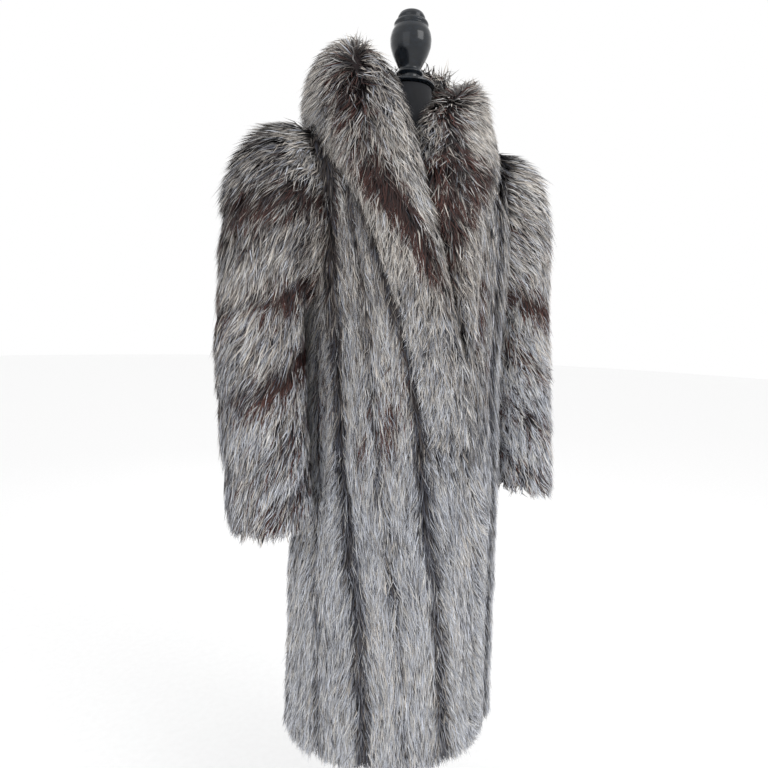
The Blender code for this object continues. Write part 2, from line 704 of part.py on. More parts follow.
def coat():
    """The coat's six fur pieces."""
    levels = row_levels()
    fur = material("silver_fox", (0.33, 0.31, 0.31), 0.9)
    collar_fur = material("collar_fox", (0.40, 0.37, 0.36), 0.9)
    back(levels, fur)
    right_front(levels, fur)
    left_front(levels, fur)
    sleeve("right_sleeve", -1, RIGHT_HANG, levels, fur)
    sleeve("left_sleeve", 1, LEFT_HANG, levels, fur)
    collar(levels, collar_fur)


def main():
    clear_scene()
    dress_form()
    coat()


main()
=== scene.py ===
"""The looks of a silver-fox coat on a black dress form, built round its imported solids.

Every fur piece has two parts. A pelt is a thin closed wall of hide and underfur on the solid's own form.
Its fur is one mesh of tapered locks that root in the pelt and lie along the nap. Both are worked out from
the same grids, written as (turn, level) on the body, (ring, run) on a sleeve and (station, share) on the
collar. Metres, +Z up; the front faces -Y and the wearer's right is -X.
"""

import sys

import logging
import math
from dataclasses import dataclass, field
from enum import Enum
from typing import Any, Sequence

import bpy
import numpy as np
from mathutils import Matrix, Vector

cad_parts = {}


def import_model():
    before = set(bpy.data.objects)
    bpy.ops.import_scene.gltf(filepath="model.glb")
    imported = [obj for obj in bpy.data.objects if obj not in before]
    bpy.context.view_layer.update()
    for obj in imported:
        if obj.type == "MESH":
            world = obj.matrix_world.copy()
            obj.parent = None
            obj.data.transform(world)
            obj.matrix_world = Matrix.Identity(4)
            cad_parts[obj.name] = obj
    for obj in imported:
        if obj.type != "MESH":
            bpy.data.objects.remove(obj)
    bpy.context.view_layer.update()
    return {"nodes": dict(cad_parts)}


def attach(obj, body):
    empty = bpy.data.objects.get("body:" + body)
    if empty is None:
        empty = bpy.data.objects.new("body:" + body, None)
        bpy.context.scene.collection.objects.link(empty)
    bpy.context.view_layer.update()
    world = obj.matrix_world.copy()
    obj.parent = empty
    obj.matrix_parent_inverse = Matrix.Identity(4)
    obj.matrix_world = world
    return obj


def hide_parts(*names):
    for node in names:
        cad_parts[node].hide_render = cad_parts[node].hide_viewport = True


LOG = logging.getLogger("fur_coat")
BODY = "root"
BAKE_MAP = "OFBake"

Rows = Sequence[Sequence[float]]

# whole numbers that scramble a lattice corner's place into its noise value
CORNER_KEYS = np.array([73856093, 19349663, 83492791])
SEED_KEY = 7919
MIX_KEY = 1274126177
LOW_31_BITS = 0x7FFFFFFF
LOW_16_BITS = 0xFFFF

# level, half width, half depth, centre y of the hide round the body
BODY_RINGS: Rows = (
    (0.350, 0.188, 0.154, -0.004),
    (0.500, 0.184, 0.152, -0.003),
    (0.850, 0.182, 0.145, -0.001),
    (1.000, 0.176, 0.141, 0.000),
    (1.120, 0.178, 0.141, 0.000),
    (1.300, 0.190, 0.141, 0.000),
    (1.452, 0.200, 0.141, 0.000),
)
LINE_LEVELS = (0.350, 0.60, 0.85, 1.03, 1.25, 1.452)
# turn of each line between pelt strips at those levels, then how much it parts the fur, from 0 to 1
STRIP_LINES = {
    "right_4": ((-63, -66, -70, -74, -66.5, -64.5), 0.5),
    "right_3": ((-37, -41, -51, -58, -61, -59), 1.0),
    "right_2": ((-17, -22, -32, -38, -47, -50), 0.45),
    "right_1": ((4, -2, -11, -18, -34, -41), 1.0),
    "left_0": ((26, 26, 25, 19, 12, 33), 0.4),
    "left_1": ((42, 41, 40, 38, 37, 42), 0.8),
    "left_2": ((58, 58, 57, 55, 51, 52), 0.45),
    "left_3": ((75, 75, 74, 70, 62, 61), 0.8),
    "back_left_4": ((108, 108, 108, 110, 117, 118), 0.45),
    "back_left_3": ((126, 126, 126, 127, 129, 129), 1.0),
    "back_left_2": ((144, 144, 144, 144, 147, 152), 0.45),
    "back_left_1": ((162, 162, 162, 162, 162, 162), 1.0),
    "back_centre": ((180, 180, 180, 180, 180, 180), 0.5),
    "back_right_1": ((198, 198, 198, 198, 198, 198), 1.0),
    "back_right_2": ((216, 216, 216, 216, 213, 208), 0.45),
    "back_right_3": ((234, 234, 234, 233, 231, 231), 1.0),
    "back_right_4": ((252, 252, 252, 250, 243, 242), 0.45),
}
# level, turn of the front edges; the right front laps over the left one
RIGHT_EDGE: Rows = (
    (0.350, 20.0),
    (0.850, 19.0),
    (0.930, 15.5),
    (0.980, 11.0),
    (1.100, -1.0),
    (1.210, -10.0),
    (1.270, -14.5),
    (1.320, -19.5),
    (1.360, -21.5),
    (1.405, -23.5),
    (1.452, -28.0),
)
LEFT_EDGE: Rows = (
    (0.350, -16.0),
    (1.100, -16.0),
    (1.280, -14.0),
    (1.355, -9.5),
    (1.405, -4.0),
    (1.452, 28.0),
)
# base level, edge turn, edge level, rise, edge rise, stand, fur
RIGHT_LAPEL: Rows = (
    (0.940, -9.0, 0.935, 0.026, 0.012, 0.0, 0.018),
    (1.035, -14.0, 1.030, 0.028, 0.014, 0.0, 0.020),
    (1.110, -20.0, 1.110, 0.031, 0.018, 0.0, 0.021),
    (1.200, -29.0, 1.200, 0.038, 0.024, 0.0, 0.022),
    (1.290, -37.0, 1.300, 0.055, 0.036, 0.1, 0.023),
    (1.355, -45.0, 1.360, 0.095, 0.065, 0.4, 0.024),
    (1.405, -52.0, 1.410, 0.140, 0.100, 0.8, 0.025),
    (1.452, -56.0, 1.452, 0.168, 0.132, 1.0, 0.026),
)
LEFT_LAPEL: Rows = (
    (1.110, 13.5, 1.110, 0.024, 0.014, 0.0, 0.013),
    (1.200, 12.5, 1.200, 0.030, 0.022, 0.0, 0.017),
    (1.290, 16.5, 1.300, 0.046, 0.034, 0.1, 0.021),
    (1.355, 27.0, 1.365, 0.072, 0.042, 0.4, 0.024),
    (1.405, 36.0, 1.415, 0.108, 0.036, 0.8, 0.025),
    (1.452, 44.0, 1.455, 0.155, 0.022, 1.0, 0.026),
)
# turn past the centre back, edge turn past it, edge level, rise, edge rise
BACK_COLLAR: Rows = (
    (-28.0, -44.0, 1.455, 0.155, 0.022),
    (-21.0, -37.0, 1.425, 0.280, 0.095),
    (-14.0, -28.0, 1.395, 0.290, 0.150),
    (0.0, 0.0, 1.365, 0.275, 0.190),
    (14.0, 29.0, 1.395, 0.225, 0.170),
    (28.0, 56.0, 1.452, 0.168, 0.132),
)
# inner x, inner z, outer x, outer z, centre y, half depth, fur of each section of a sleeve
SLEEVE_SECTIONS: Rows = (
    (0.196, 1.130, 0.232, 1.400, 0.000, 0.072, 0.023),
    (0.198, 1.122, 0.268, 1.372, -0.001, 0.074, 0.025),
    (0.199, 1.112, 0.294, 1.325, -0.003, 0.071, 0.020),
    (0.200, 1.096, 0.304, 1.262, -0.006, 0.066, 0.027),
    (0.200, 1.070, 0.311, 1.180, -0.010, 0.061, 0.017),
    (0.200, 1.035, 0.316, 1.110, -0.015, 0.058, 0.027),
    (0.200, 0.985, 0.317, 1.010, -0.024, 0.056, 0.018),
    (0.200, 0.930, 0.316, 0.945, -0.034, 0.056, 0.027),
    (0.200, 0.872, 0.313, 0.872, -0.045, 0.056, 0.019),
    (0.200, 0.830, 0.310, 0.826, -0.053, 0.056, 0.026),
    (0.200, 0.800, 0.307, 0.796, -0.058, 0.055, 0.020),
)
# height, half width, half depth, centre y of the form's torso and neck
TORSO_RINGS: Rows = (
    (0.740, 0.150, 0.112, 0.004),
    (0.800, 0.160, 0.120, 0.004),
    (0.880, 0.158, 0.118, 0.003),
    (0.960, 0.138, 0.102, 0.001),
    (1.030, 0.122, 0.092, 0.000),
    (1.110, 0.134, 0.098, -0.004),
    (1.200, 0.156, 0.112, -0.008),
    (1.290, 0.166, 0.108, -0.004),
    (1.350, 0.171, 0.096, 0.000),
    (1.388, 0.172, 0.080, 0.000),
    (1.402, 0.169, 0.070, 0.000),
    (1.413, 0.158, 0.063, 0.001),
    (1.427, 0.130, 0.051, 0.001),
    (1.440, 0.096, 0.045, 0.000),
    (1.449, 0.068, 0.043, 0.000),
    (1.462, 0.051, 0.043, 0.000),
    (1.482, 0.043, 0.042, 0.000),
    (1.520, 0.040, 0.040, 0.000),
)
# radius, height above the piece's own foot, down the outside
NECK_CAP_PROFILE: Rows = (
    (0.0, 0.0130),
    (0.024, 0.0130),
    (0.027, 0.0118),
    (0.028, 0.0098),
    (0.030, 0.0090),
    (0.043, 0.0080),
    (0.0455, 0.0062),
    (0.0455, 0.0036),
    (0.043, 0.0018),
    (0.036, 0.0006),
    (0.034, 0.0),
    (0.0, 0.0),
)
FINIAL_PROFILE: Rows = (
    (0.0, 0.1180),
    (0.012, 0.1170),
    (0.021, 0.1125),
    (0.0245, 0.1060),
    (0.023, 0.1010),
    (0.0290, 0.0985),
    (0.0308, 0.0945),
    (0.0290, 0.0905),
    (0.0310, 0.0880),
    (0.0350, 0.0800),
    (0.0368, 0.0700),
    (0.0358, 0.0580),
    (0.0310, 0.0440),
    (0.0240, 0.0310),
    (0.0195, 0.0220),
    (0.0188, 0.0180),
    (0.0225, 0.0160),
    (0.0235, 0.0130),
    (0.0215, 0.0105),
    (0.0195, 0.0080),
    (0.0195, 0.0),
    (0.0, 0.0),
)
BASE_PROFILE: Rows = (
    (0.0, 0.034),
    (0.026, 0.034),
    (0.032, 0.029),
    (0.040, 0.022),
    (0.110, 0.0165),
    (0.185, 0.013),
    (0.197, 0.010),
    (0.200, 0.006),
    (0.200, 0.0),
    (0.0, 0.0),
)


def eased(at: Any, rows: Rows, column: int) -> np.ndarray:
    """The smooth curve through one column of a table, a cubic with the table's own slopes at its rows.

    Args:
        at: Where to read it, in the units of the table's first column.
        rows: The table, in rising order of its first column.
        column: The column to read.

    Returns:
        The values there, held level past the table's ends.
    """
    places = np.array([row[0] for row in rows], float)
    values = np.array([row[column] for row in rows], float)
    slopes = np.gradient(values, places)
    at = np.clip(at, places[0], places[-1])
    low = np.clip(np.searchsorted(places, at, side="right") - 1, 0, len(places) - 2)
    span = places[low + 1] - places[low]
    share = (at - places[low]) / span
    return (
        values[low] * (1 + 2 * share) * (1 - share) ** 2
        + slopes[low] * span * share * (1 - share) ** 2
        + values[low + 1] * share**2 * (3 - 2 * share)
        + slopes[low + 1] * span * share**2 * (share - 1)
    )


def smooth_step(value: Any, low: float, high: float) -> Any:
    """0 below low, 1 above high, and 3s^2 - 2s^3 between."""
    share = np.clip((value - low) / (high - low), 0, 1)
    return share * share * (3 - 2 * share)


def unit(vectors: np.ndarray) -> np.ndarray:
    """The vectors at length 1."""
    return vectors / np.maximum(np.linalg.norm(vectors, axis=-1, keepdims=True), 1e-9)


def lattice_noise(points: np.ndarray, size: Sequence[float], seed: int) -> np.ndarray:
    """Smooth noise: fixed random values on a lattice, blended by the eased shares between its corners.

    Args:
        points: Where to read it, as (..., 3).
        size: The lattice's spacing along each axis.
        seed: Which noise.

    Returns:
        Values from -1 to 1.
    """
    at = points / np.asarray(size, float)
    low = np.floor(at).astype(np.int64)
    share = smooth_step(at - low, 0, 1)
    total = np.zeros(points.shape[:-1])
    for corner in np.ndindex(2, 2, 2):
        key = (low + np.array(corner)) @ CORNER_KEYS + seed * SEED_KEY
        key = (key ^ (key >> 13)) & LOW_31_BITS
        key = (key * MIX_KEY) & LOW_31_BITS
        key = (key ^ (key >> 15)) & LOW_16_BITS
        weight = np.prod(np.where(np.array(corner) == 1, share, 1 - share), axis=-1)
        total += weight * (2 * key / LOW_16_BITS - 1)
    return total


def linear(red: float, green: float, blue: float) -> tuple[float, float, float, float]:
    """A screen colour as linear light.

    Args:
        red: Red, from 0 to 255.
        green: Green.
        blue: Blue.

    Returns:
        Red, green, blue and alpha.
    """
    levels = np.array([red, green, blue]) / 255
    light = np.where(levels > 0.04045, ((levels + 0.055) / 1.055) ** 2.4, levels / 12.92)
    return (float(light[0]), float(light[1]), float(light[2]), 1.0)


# ---------------------------------------------------------------- shader maths and nodes


class Value:
    """A number in a material: a socket whose arithmetic adds Math nodes."""

    def __init__(self, graph: "Graph", socket: bpy.types.NodeSocket) -> None:
        """Wraps a socket of the graph."""
        self.graph = graph
        self.socket = socket

    def _math(self, operation: str, first: Any, second: Any) -> "Value":
        """One Math node on two values or numbers."""
        made = self.graph.node("ShaderNodeMath", {"operation": operation}, {0: first, 1: second})
        return Value(self.graph, made.outputs[0])

    def __add__(self, other: Any) -> "Value":
        """self + other."""
        return self._math("ADD", self, other)

    def __radd__(self, other: Any) -> "Value":
        """other + self."""
        return self._math("ADD", other, self)

    def __sub__(self, other: Any) -> "Value":
        """self - other."""
        return self._math("SUBTRACT", self, other)

    def __rsub__(self, other: Any) -> "Value":
        """other - self."""
        return self._math("SUBTRACT", other, self)

    def __mul__(self, other: Any) -> "Value":
        """self * other."""
        return self._math("MULTIPLY", self, other)

    def __rmul__(self, other: Any) -> "Value":
        """other * self."""
        return self._math("MULTIPLY", other, self)


class Graph:
    """The node tree of one material, with its Principled shader."""

    def __init__(self, name: str) -> None:
        """A new material with a Principled shader.

        Args:
            name: The material's name.
        """
        self.material = bpy.data.materials.new(name)
        self.material.use_nodes = True
        self.tree = self.material.node_tree
        self.shader = self.tree.nodes["Principled BSDF"]

    def node(self, kind: str, settings: dict[str, Any], values: dict[Any, Any]) -> bpy.types.Node:
        """A node, with its settings made first and then its sockets set or linked.

        Args:
            kind: The node's type.
            settings: Its properties. "stops" gives a Color Ramp's places and colours.
            values: Its inputs by name or number, as constants, Values or sockets.

        Returns:
            The node.
        """
        made = self.tree.nodes.new(kind)
        for name, setting in settings.items():
            if name == "stops":
                self._stops(made.color_ramp, setting)
            else:
                setattr(made, name, setting)
        for name, value in values.items():
            self.feed(made.inputs[name], value)
        return made

    def _stops(self, ramp: bpy.types.ColorRamp, stops: Sequence[tuple]) -> None:
        """Gives a ramp its stops.

        Args:
            ramp: The ramp.
            stops: The place and colour of each, in order.
        """
        while len(ramp.elements) < len(stops):
            ramp.elements.new(1.0)
        for element, (place, colour) in zip(ramp.elements, stops):
            element.position = place
            element.color = colour

    def feed(self, socket: bpy.types.NodeSocket, value: Any) -> None:
        """Sets a socket, or links it.

        Args:
            socket: The input.
            value: A constant, a Value or another socket.
        """
        if isinstance(value, Value):
            self.tree.links.new(value.socket, socket)
        elif isinstance(value, bpy.types.NodeSocket):
            self.tree.links.new(value, socket)
        else:
            socket.default_value = value

    def noise(self, coordinates: Any, scale: Sequence[float], detail: float = 3.0) -> Value:
        """Noise on stretched coordinates.

        Args:
            coordinates: Where to read it.
            scale: Spots to a metre along each axis.
            detail: How many finer layers it has.

        Returns:
            The noise, about 0 to 1.
        """
        mapping = self.node("ShaderNodeMapping", {}, {"Vector": coordinates, "Scale": tuple(scale)})
        made = self.node(
            "ShaderNodeTexNoise", {}, {"Vector": mapping.outputs[0], "Scale": 1.0, "Detail": detail}
        )
        return Value(self, made.outputs["Fac"])

    def ramp(self, factor: Any, stops: Sequence[tuple]) -> bpy.types.NodeSocket:
        """The colours of a ramp at a factor."""
        return self.node("ShaderNodeValToRGB", {"stops": stops}, {"Fac": factor}).outputs["Color"]

    def object_place(self) -> bpy.types.NodeSocket:
        """The piece's own coordinates."""
        return self.node("ShaderNodeTexCoord", {}, {}).outputs["Object"]

    def bump(self, height: Any, strength: float, distance: float) -> bpy.types.NodeSocket:
        """The normal bent by a height.

        Args:
            height: The height, from 0 to 1.
            strength: How much of the bend shows.
            distance: What a height of 1 stands for, in metres.

        Returns:
            The normal.
        """
        made = self.node(
            "ShaderNodeBump", {}, {"Height": height, "Strength": strength, "Distance": distance}
        )
        return made.outputs["Normal"]

    def principled(self, **values: Any) -> bpy.types.Material:
        """Feeds the shader.

        Args:
            **values: Its inputs, named with _ for a space.

        Returns:
            The material.
        """
        for name, value in values.items():
            self.feed(self.shader.inputs[name.replace("_", " ")], value)
        return self.material


# ---------------------------------------------------------------- finishes


class Hair(Enum):
    """The kinds of hair in the fur, in the order that they stand across the tone map."""

    SILVER = 0
    WARM = 1
    COOL = 2
    MAHOGANY = 3
    DARK = 4


@dataclass(frozen=True)
class FoxHair:
    """Guard hair: dark at the root and pale towards the tip, read from each lock's own tone map.

    Across the map run the kinds of hair, each from its darkest to its palest lock. Up it runs the lock.
    """

    # root colour, darkest tip, palest tip
    silver: tuple = ((34, 30, 32), (74, 70, 72), (242, 240, 237))
    warm: tuple = ((40, 31, 29), (80, 71, 67), (238, 230, 220))
    cool: tuple = ((31, 31, 39), (74, 76, 87), (230, 234, 243))
    mahogany: tuple = ((24, 13, 12), (38, 21, 19), (104, 66, 58))
    dark: tuple = ((10, 9, 11), (17, 15, 17), (62, 58, 62))
    edge: float = 0.02

    def build(self) -> bpy.types.Material:
        """Builds the finish.

        Returns:
            The material, which reads each lock's tone map.
        """
        graph = Graph("fox_hair")
        kinds = (self.silver, self.warm, self.cool, self.mahogany, self.dark)
        width = 1 / len(kinds)
        roots, tips = [], []
        for number, (root, low, high) in enumerate(kinds):
            start, end = number * width + self.edge / 2, (number + 1) * width - self.edge / 2
            roots += [(start, linear(*root)), (end, linear(*root))]
            tips += [(start, linear(*low)), (end, linear(*high))]
        place = graph.node("ShaderNodeUVMap", {"uv_map": BAKE_MAP}, {}).outputs[0]
        split = graph.node("ShaderNodeSeparateXYZ", {}, {"Vector": place})
        across, along = split.outputs[0], split.outputs[1]
        paleness = graph.ramp(
            along,
            (
                (0.0, (0, 0, 0, 1)),
                (0.25, (0.10, 0.10, 0.10, 1)),
                (0.52, (0.66, 0.66, 0.66, 1)),
                (0.80, (1, 1, 1, 1)),
                (1.0, (0.75, 0.75, 0.75, 1)),
            ),
        )
        mix = graph.node(
            "ShaderNodeMix",
            {"data_type": "RGBA"},
            {0: paleness, 6: graph.ramp(across, roots), 7: graph.ramp(across, tips)},
        )
        return graph.principled(
            Base_Color=mix.outputs[2], Roughness=0.52, Specular_IOR_Level=0.35, Sheen_Weight=0.0
        )


@dataclass(frozen=True)
class Underfur:
    """The short dense wool under the guard hair, and the hide's brown skin inside."""

    dark: tuple = (24, 20, 21)
    pale: tuple = (66, 58, 58)

    def build(self) -> bpy.types.Material:
        """Builds the finish.

        Returns:
            The material.
        """
        graph = Graph("underfur")
        place = graph.object_place()
        wool = graph.noise(place, (260.0, 260.0, 60.0), 4.0)
        patches = graph.noise(place, (14.0, 14.0, 7.0))
        shade = wool * 0.65 + patches * 0.45 - 0.05
        colour = graph.ramp(shade, ((0.30, linear(*self.dark)), (0.80, linear(*self.pale))))
        return graph.principled(
            Base_Color=colour, Roughness=0.95, Normal=graph.bump(wool, 0.6, 0.003), Specular_IOR_Level=0.1
        )


@dataclass(frozen=True)
class Jersey:
    """Black stretch jersey with its fine wales."""

    colour: tuple = (20, 21, 25)
    worn: tuple = (34, 36, 42)

    def build(self) -> bpy.types.Material:
        """Builds the finish.

        Returns:
            The material.
        """
        graph = Graph("black_jersey")
        place = graph.object_place()
        wales = graph.node(
            "ShaderNodeTexWave",
            {"wave_type": "BANDS", "bands_direction": "X"},
            {"Vector": place, "Scale": 260.0, "Distortion": 1.2, "Detail": 2.0},
        )
        slubs = graph.noise(place, (400.0, 400.0, 240.0), 2.0)
        dust = graph.noise(place, (38.0, 38.0, 30.0), 5.0)
        height = Value(graph, wales.outputs["Fac"]) * 0.6 + slubs * 0.4
        colour = graph.ramp(dust, ((0.35, linear(*self.colour)), (0.75, linear(*self.worn))))
        return graph.principled(
            Base_Color=colour,
            Roughness=0.82 + dust * 0.1,
            Normal=graph.bump(height, 0.35, 0.0006),
            Sheen_Weight=0.25,
            Sheen_Roughness=0.4,
        )


@dataclass(frozen=True)
class Lacquer:
    """Turned wood under satin black lacquer: faint turning rings and fine scuffs."""

    colour: tuple = (11, 17, 24)
    scuffed: tuple = (20, 29, 39)

    def build(self) -> bpy.types.Material:
        """Builds the finish.

        Returns:
            The material.
        """
        graph = Graph("black_lacquer")
        place = graph.object_place()
        rings = graph.noise(place, (18.0, 18.0, 900.0), 2.0)
        scuffs = graph.noise(place, (120.0, 120.0, 160.0), 5.0)
        colour = graph.ramp(scuffs, ((0.42, linear(*self.colour)), (0.78, linear(*self.scuffed))))
        return graph.principled(
            Base_Color=colour,
            Roughness=0.14 + scuffs * 0.20,
            Normal=graph.bump(rings * 0.7 + scuffs * 0.3, 0.12, 0.0005),
            Coat_Weight=0.25,
            Coat_Roughness=0.06,
            Specular_IOR_Level=0.35,
        )


@dataclass(frozen=True)
class PowderCoat:
    """Black powder coat with its fine orange-peel grain."""

    colour: tuple = (24, 25, 28)
    worn: tuple = (40, 41, 45)

    def build(self) -> bpy.types.Material:
        """Builds the finish.

        Returns:
            The material.
        """
        graph = Graph("powder_coat")
        place = graph.object_place()
        grain = graph.noise(place, (900.0, 900.0, 900.0), 2.0)
        wear = graph.noise(place, (26.0, 26.0, 26.0), 4.0)
        colour = graph.ramp(wear, ((0.40, linear(*self.colour)), (0.75, linear(*self.worn))))
        return graph.principled(
            Base_Color=colour,
            Roughness=0.42 + wear * 0.16,
            Normal=graph.bump(grain, 0.25, 0.0004),
            Specular_IOR_Level=0.5,
        )


@dataclass(frozen=True)
class Paper:
    """The pale seamless paper that the stand is on."""

    colour: tuple = (248, 248, 248)

    def build(self) -> bpy.types.Material:
        """Builds the finish.

        Returns:
            The material.
        """
        graph = Graph("seamless_paper")
        fibre = graph.noise(graph.object_place(), (60.0, 60.0, 60.0), 2.0)
        tone = graph.ramp(fibre, ((0.3, linear(*self.colour)), (0.7, linear(*(c + 3 for c in self.colour)))))
        return graph.principled(Base_Color=tone, Roughness=0.9, Specular_IOR_Level=0.1)


# ---------------------------------------------------------------- meshes


def mesh_piece(
    name: str,
    points: np.ndarray,
    corners: np.ndarray,
    starts: np.ndarray,
    material: bpy.types.Material,
) -> bpy.types.Object:
    """A smooth-shaded piece from whole arrays.

    Args:
        name: The piece's name.
        points: The vertices, (n, 3).
        corners: The vertex at each face corner.
        starts: The first corner of each face.
        material: Its finish.

    Returns:
        The object, at the origin.
    """
    mesh = bpy.data.meshes.new(name)
    mesh.vertices.add(len(points))
    mesh.vertices.foreach_set("co", points.astype(np.float32).ravel())
    mesh.loops.add(len(corners))
    mesh.loops.foreach_set("vertex_index", corners.astype(np.int32))
    mesh.polygons.add(len(starts))
    mesh.polygons.foreach_set("loop_start", starts.astype(np.int32))
    mesh.update(calc_edges=True)
    mesh.validate(clean_customdata=False)
    mesh.polygons.foreach_set("use_smooth", np.ones(len(starts), bool))
    mesh.materials.append(material)
    made = bpy.data.objects.new(name, mesh)
    bpy.context.scene.collection.objects.link(made)
    return made


def grid_faces(rows: int, columns: int, wrap: bool, start: int = 0) -> np.ndarray:
    """The quads of a grid of points held row by row, facing along (column way) x (row way).

    Args:
        rows: Rows of points.
        columns: Columns of points.
        wrap: Whether the last column joins the first.
        start: The number of the first point.

    Returns:
        The quads, (n, 4).
    """
    row, column = np.meshgrid(np.arange(rows - 1), np.arange(columns if wrap else columns - 1), indexing="ij")
    after = (column + 1) % columns
    square = (
        row * columns + column,
        row * columns + after,
        (row + 1) * columns + after,
        (row + 1) * columns + column,
    )
    return start + np.stack(square, -1).reshape(-1, 4)


def wall_piece(
    name: str, inner: np.ndarray, outer: np.ndarray, wrap: bool, material: bpy.types.Material
) -> bpy.types.Object:
    """A thin closed wall between two matching grids, its faces turned outwards whichever way they run.

    Args:
        name: The piece's name.
        inner: The side towards the body, (rows, columns, 3).
        outer: The side away from it.
        wrap: Whether each row is a closed ring.
        material: Its finish.

    Returns:
        The object.
    """
    rows, columns = inner.shape[:2]
    count = rows * columns
    outside = grid_faces(rows, columns, wrap, count)
    inside = grid_faces(rows, columns, wrap)[:, ::-1]
    here = np.arange(columns if wrap else columns - 1)
    after = (here + 1) % columns
    low = np.stack([here + count, here, after, after + count], 1)
    last = (rows - 1) * columns
    high = np.stack([last + here + count, last + after + count, last + after, last + here], 1)
    quads = [outside, inside, low, high]
    if not wrap:
        side = np.arange(rows - 1) * columns
        quads.append(np.stack([side + count, side + columns + count, side + columns, side], 1))
        far = side + columns - 1
        quads.append(np.stack([far + count, far, far + columns, far + columns + count], 1))
    faces = np.concatenate(quads)
    points = np.concatenate([inner.reshape(-1, 3), outer.reshape(-1, 3)])
    first, second, fourth = (points[outside[:, corner]] for corner in (0, 1, 3))
    thickness = first - points[outside[:, 0] - count]
    if (np.cross(second - first, fourth - first) * thickness).sum() < 0:
        faces = faces[:, ::-1]
    return mesh_piece(name, points, faces.ravel(), np.arange(len(faces)) * 4, material)


# ---------------------------------------------------------------- the body surface


@dataclass(frozen=True)
class HideForm:
    """The surface that the coat's hide follows, written as (turn, level).

    turn is the angle round the body in degrees, 0 at the centre front and positive to the wearer's left.
    level is the height up the side of the neck. x = half width * sin(turn). y = centre - half depth *
    cos(turn) * close, where close shuts the yoke over the shoulders. z = level less the shoulder's slope.
    """

    hem: float = 0.366
    underarm: float = 1.12
    ridge: float = 1.452
    yoke_round: float = 0.75
    right_slope: float = 0.44
    left_slope: float = 0.28
    ridge_flat: float = 0.09
    shoulder_turn: float = 68.0
    armhole_turn: float = 22.0
    armhole_rise: float = 0.17
    neck_turn: float = 28.0
    neck_dip: float = 0.030

    def point(self, turn: Any, level: Any) -> np.ndarray:
        """The points of the surface.

        Args:
            turn: Turns, in degrees.
            level: Levels.

        Returns:
            The points, (..., 3).
        """
        turn, level = np.broadcast_arrays(np.asarray(turn, float), np.asarray(level, float))
        angle = np.radians(turn)
        rise = np.clip((level - self.underarm) / (self.ridge - self.underarm), 0, 1)
        close = (1 - rise ** (2 / self.yoke_round)) ** (self.yoke_round / 2)
        x = eased(level, BODY_RINGS, 1) * np.sin(angle)
        y = eased(level, BODY_RINGS, 3) - eased(level, BODY_RINGS, 2) * np.cos(angle) * close
        slope = np.where(x > 0, self.left_slope, self.right_slope)
        z = level - slope * np.maximum(np.abs(x) - self.ridge_flat, 0) * rise
        return np.stack([x, y, z], -1)

    def normal(self, turn: Any, level: Any) -> np.ndarray:
        """The normals: the way round the body crossed with the way up it.

        Args:
            turn: Turns, in degrees.
            level: Levels.

        Returns:
            Outward unit vectors, (..., 3).
        """
        turn, level = np.broadcast_arrays(np.asarray(turn, float), np.asarray(level, float))
        step = 0.002
        low = np.minimum(level, self.ridge) - step
        high = np.minimum(level + step, self.ridge)
        up = self.point(turn, high) - self.point(turn, low)
        round_body = self.point(turn + 1, level) - self.point(turn - 1, level)
        on_ridge = level > self.ridge - 1e-6
        facing = np.sign(np.cos(np.radians(turn)))
        up[on_ridge] = np.stack([0 * turn, facing, 0 * turn], -1)[on_ridge]
        return unit(np.cross(round_body, up))

    def side_turn(self, level: Any) -> np.ndarray:
        """The turn of the side seam and, above it, of the armhole's front edge."""
        left = 1 - np.clip((level - self.underarm) / self.armhole_rise, 0, 1)
        return np.where(level <= self.underarm, 90.0, self.shoulder_turn + self.armhole_turn * left**2)

    def levels(self, skirt: int, yoke: int) -> np.ndarray:
        """Levels of rows from the hem to the shoulder seam, at equal angles over the yoke.

        Args:
            skirt: Spans below the underarm.
            yoke: Spans above it.

        Returns:
            The levels.
        """
        angles = np.radians(np.linspace(0, 90, yoke + 1)[1:])
        over = self.underarm + (self.ridge - self.underarm) * np.sin(angles) ** self.yoke_round
        return np.concatenate([np.linspace(self.hem, self.underarm, skirt + 1), over])

    def back_levels(self, turns: np.ndarray, levels: np.ndarray) -> np.ndarray:
        """The back's levels, which dip along the neckline.

        Args:
            turns: Turns, in degrees.
            levels: Levels without the dip.

        Returns:
            The levels.
        """
        across = np.clip(np.abs(turns - 180) / self.neck_turn, 0, 1)
        dip = self.neck_dip * np.cos(across * math.pi / 2) ** 0.5
        ramp = np.clip((levels - self.underarm) / (self.ridge - self.underarm), 0, 1)
        return levels - dip * ramp**3


FORM = HideForm()
SEAM = 0.0004
LAP_LIFT = 0.0085
LAP_RAMP = 12.0
FUR = 0.026
FUR_PRESSED = 0.005
FRONTS_PART = 1.330
LEFT_LAPEL_TUCK = 10.5


def right_edge(level: Any) -> np.ndarray:
    """The turn of the right front's edge."""
    return eased(level, RIGHT_EDGE, 1)


def left_edge(level: Any) -> np.ndarray:
    """The turn of the left front's edge, which runs beneath the right front below the neck.

    Args:
        level: Levels.

    Returns:
        Turns, in degrees.
    """
    tucked = right_edge(level) + LEFT_LAPEL_TUCK
    edge = eased(level, LEFT_EDGE, 1)
    return np.where(level > FRONTS_PART, np.maximum(edge, tucked), edge)


def strip_line(name: str, level: Any) -> np.ndarray:
    """The turn of a line between pelt strips."""
    return eased(level, tuple(zip(LINE_LEVELS, STRIP_LINES[name][0])), 1)


def lapel_turn(level: Any, rows: Rows) -> np.ndarray:
    """The turn of a lapel's outer edge at a level."""
    return eased(level, tuple((row[2], row[1]) for row in rows), 1)


def squeeze(fur: np.ndarray, cover: np.ndarray) -> np.ndarray:
    """The fur left where something lies on it, from all at cover 0 to the pressed depth at 1."""
    return fur + (np.minimum(fur, FUR_PRESSED) - fur) * np.clip(cover, 0, 1)


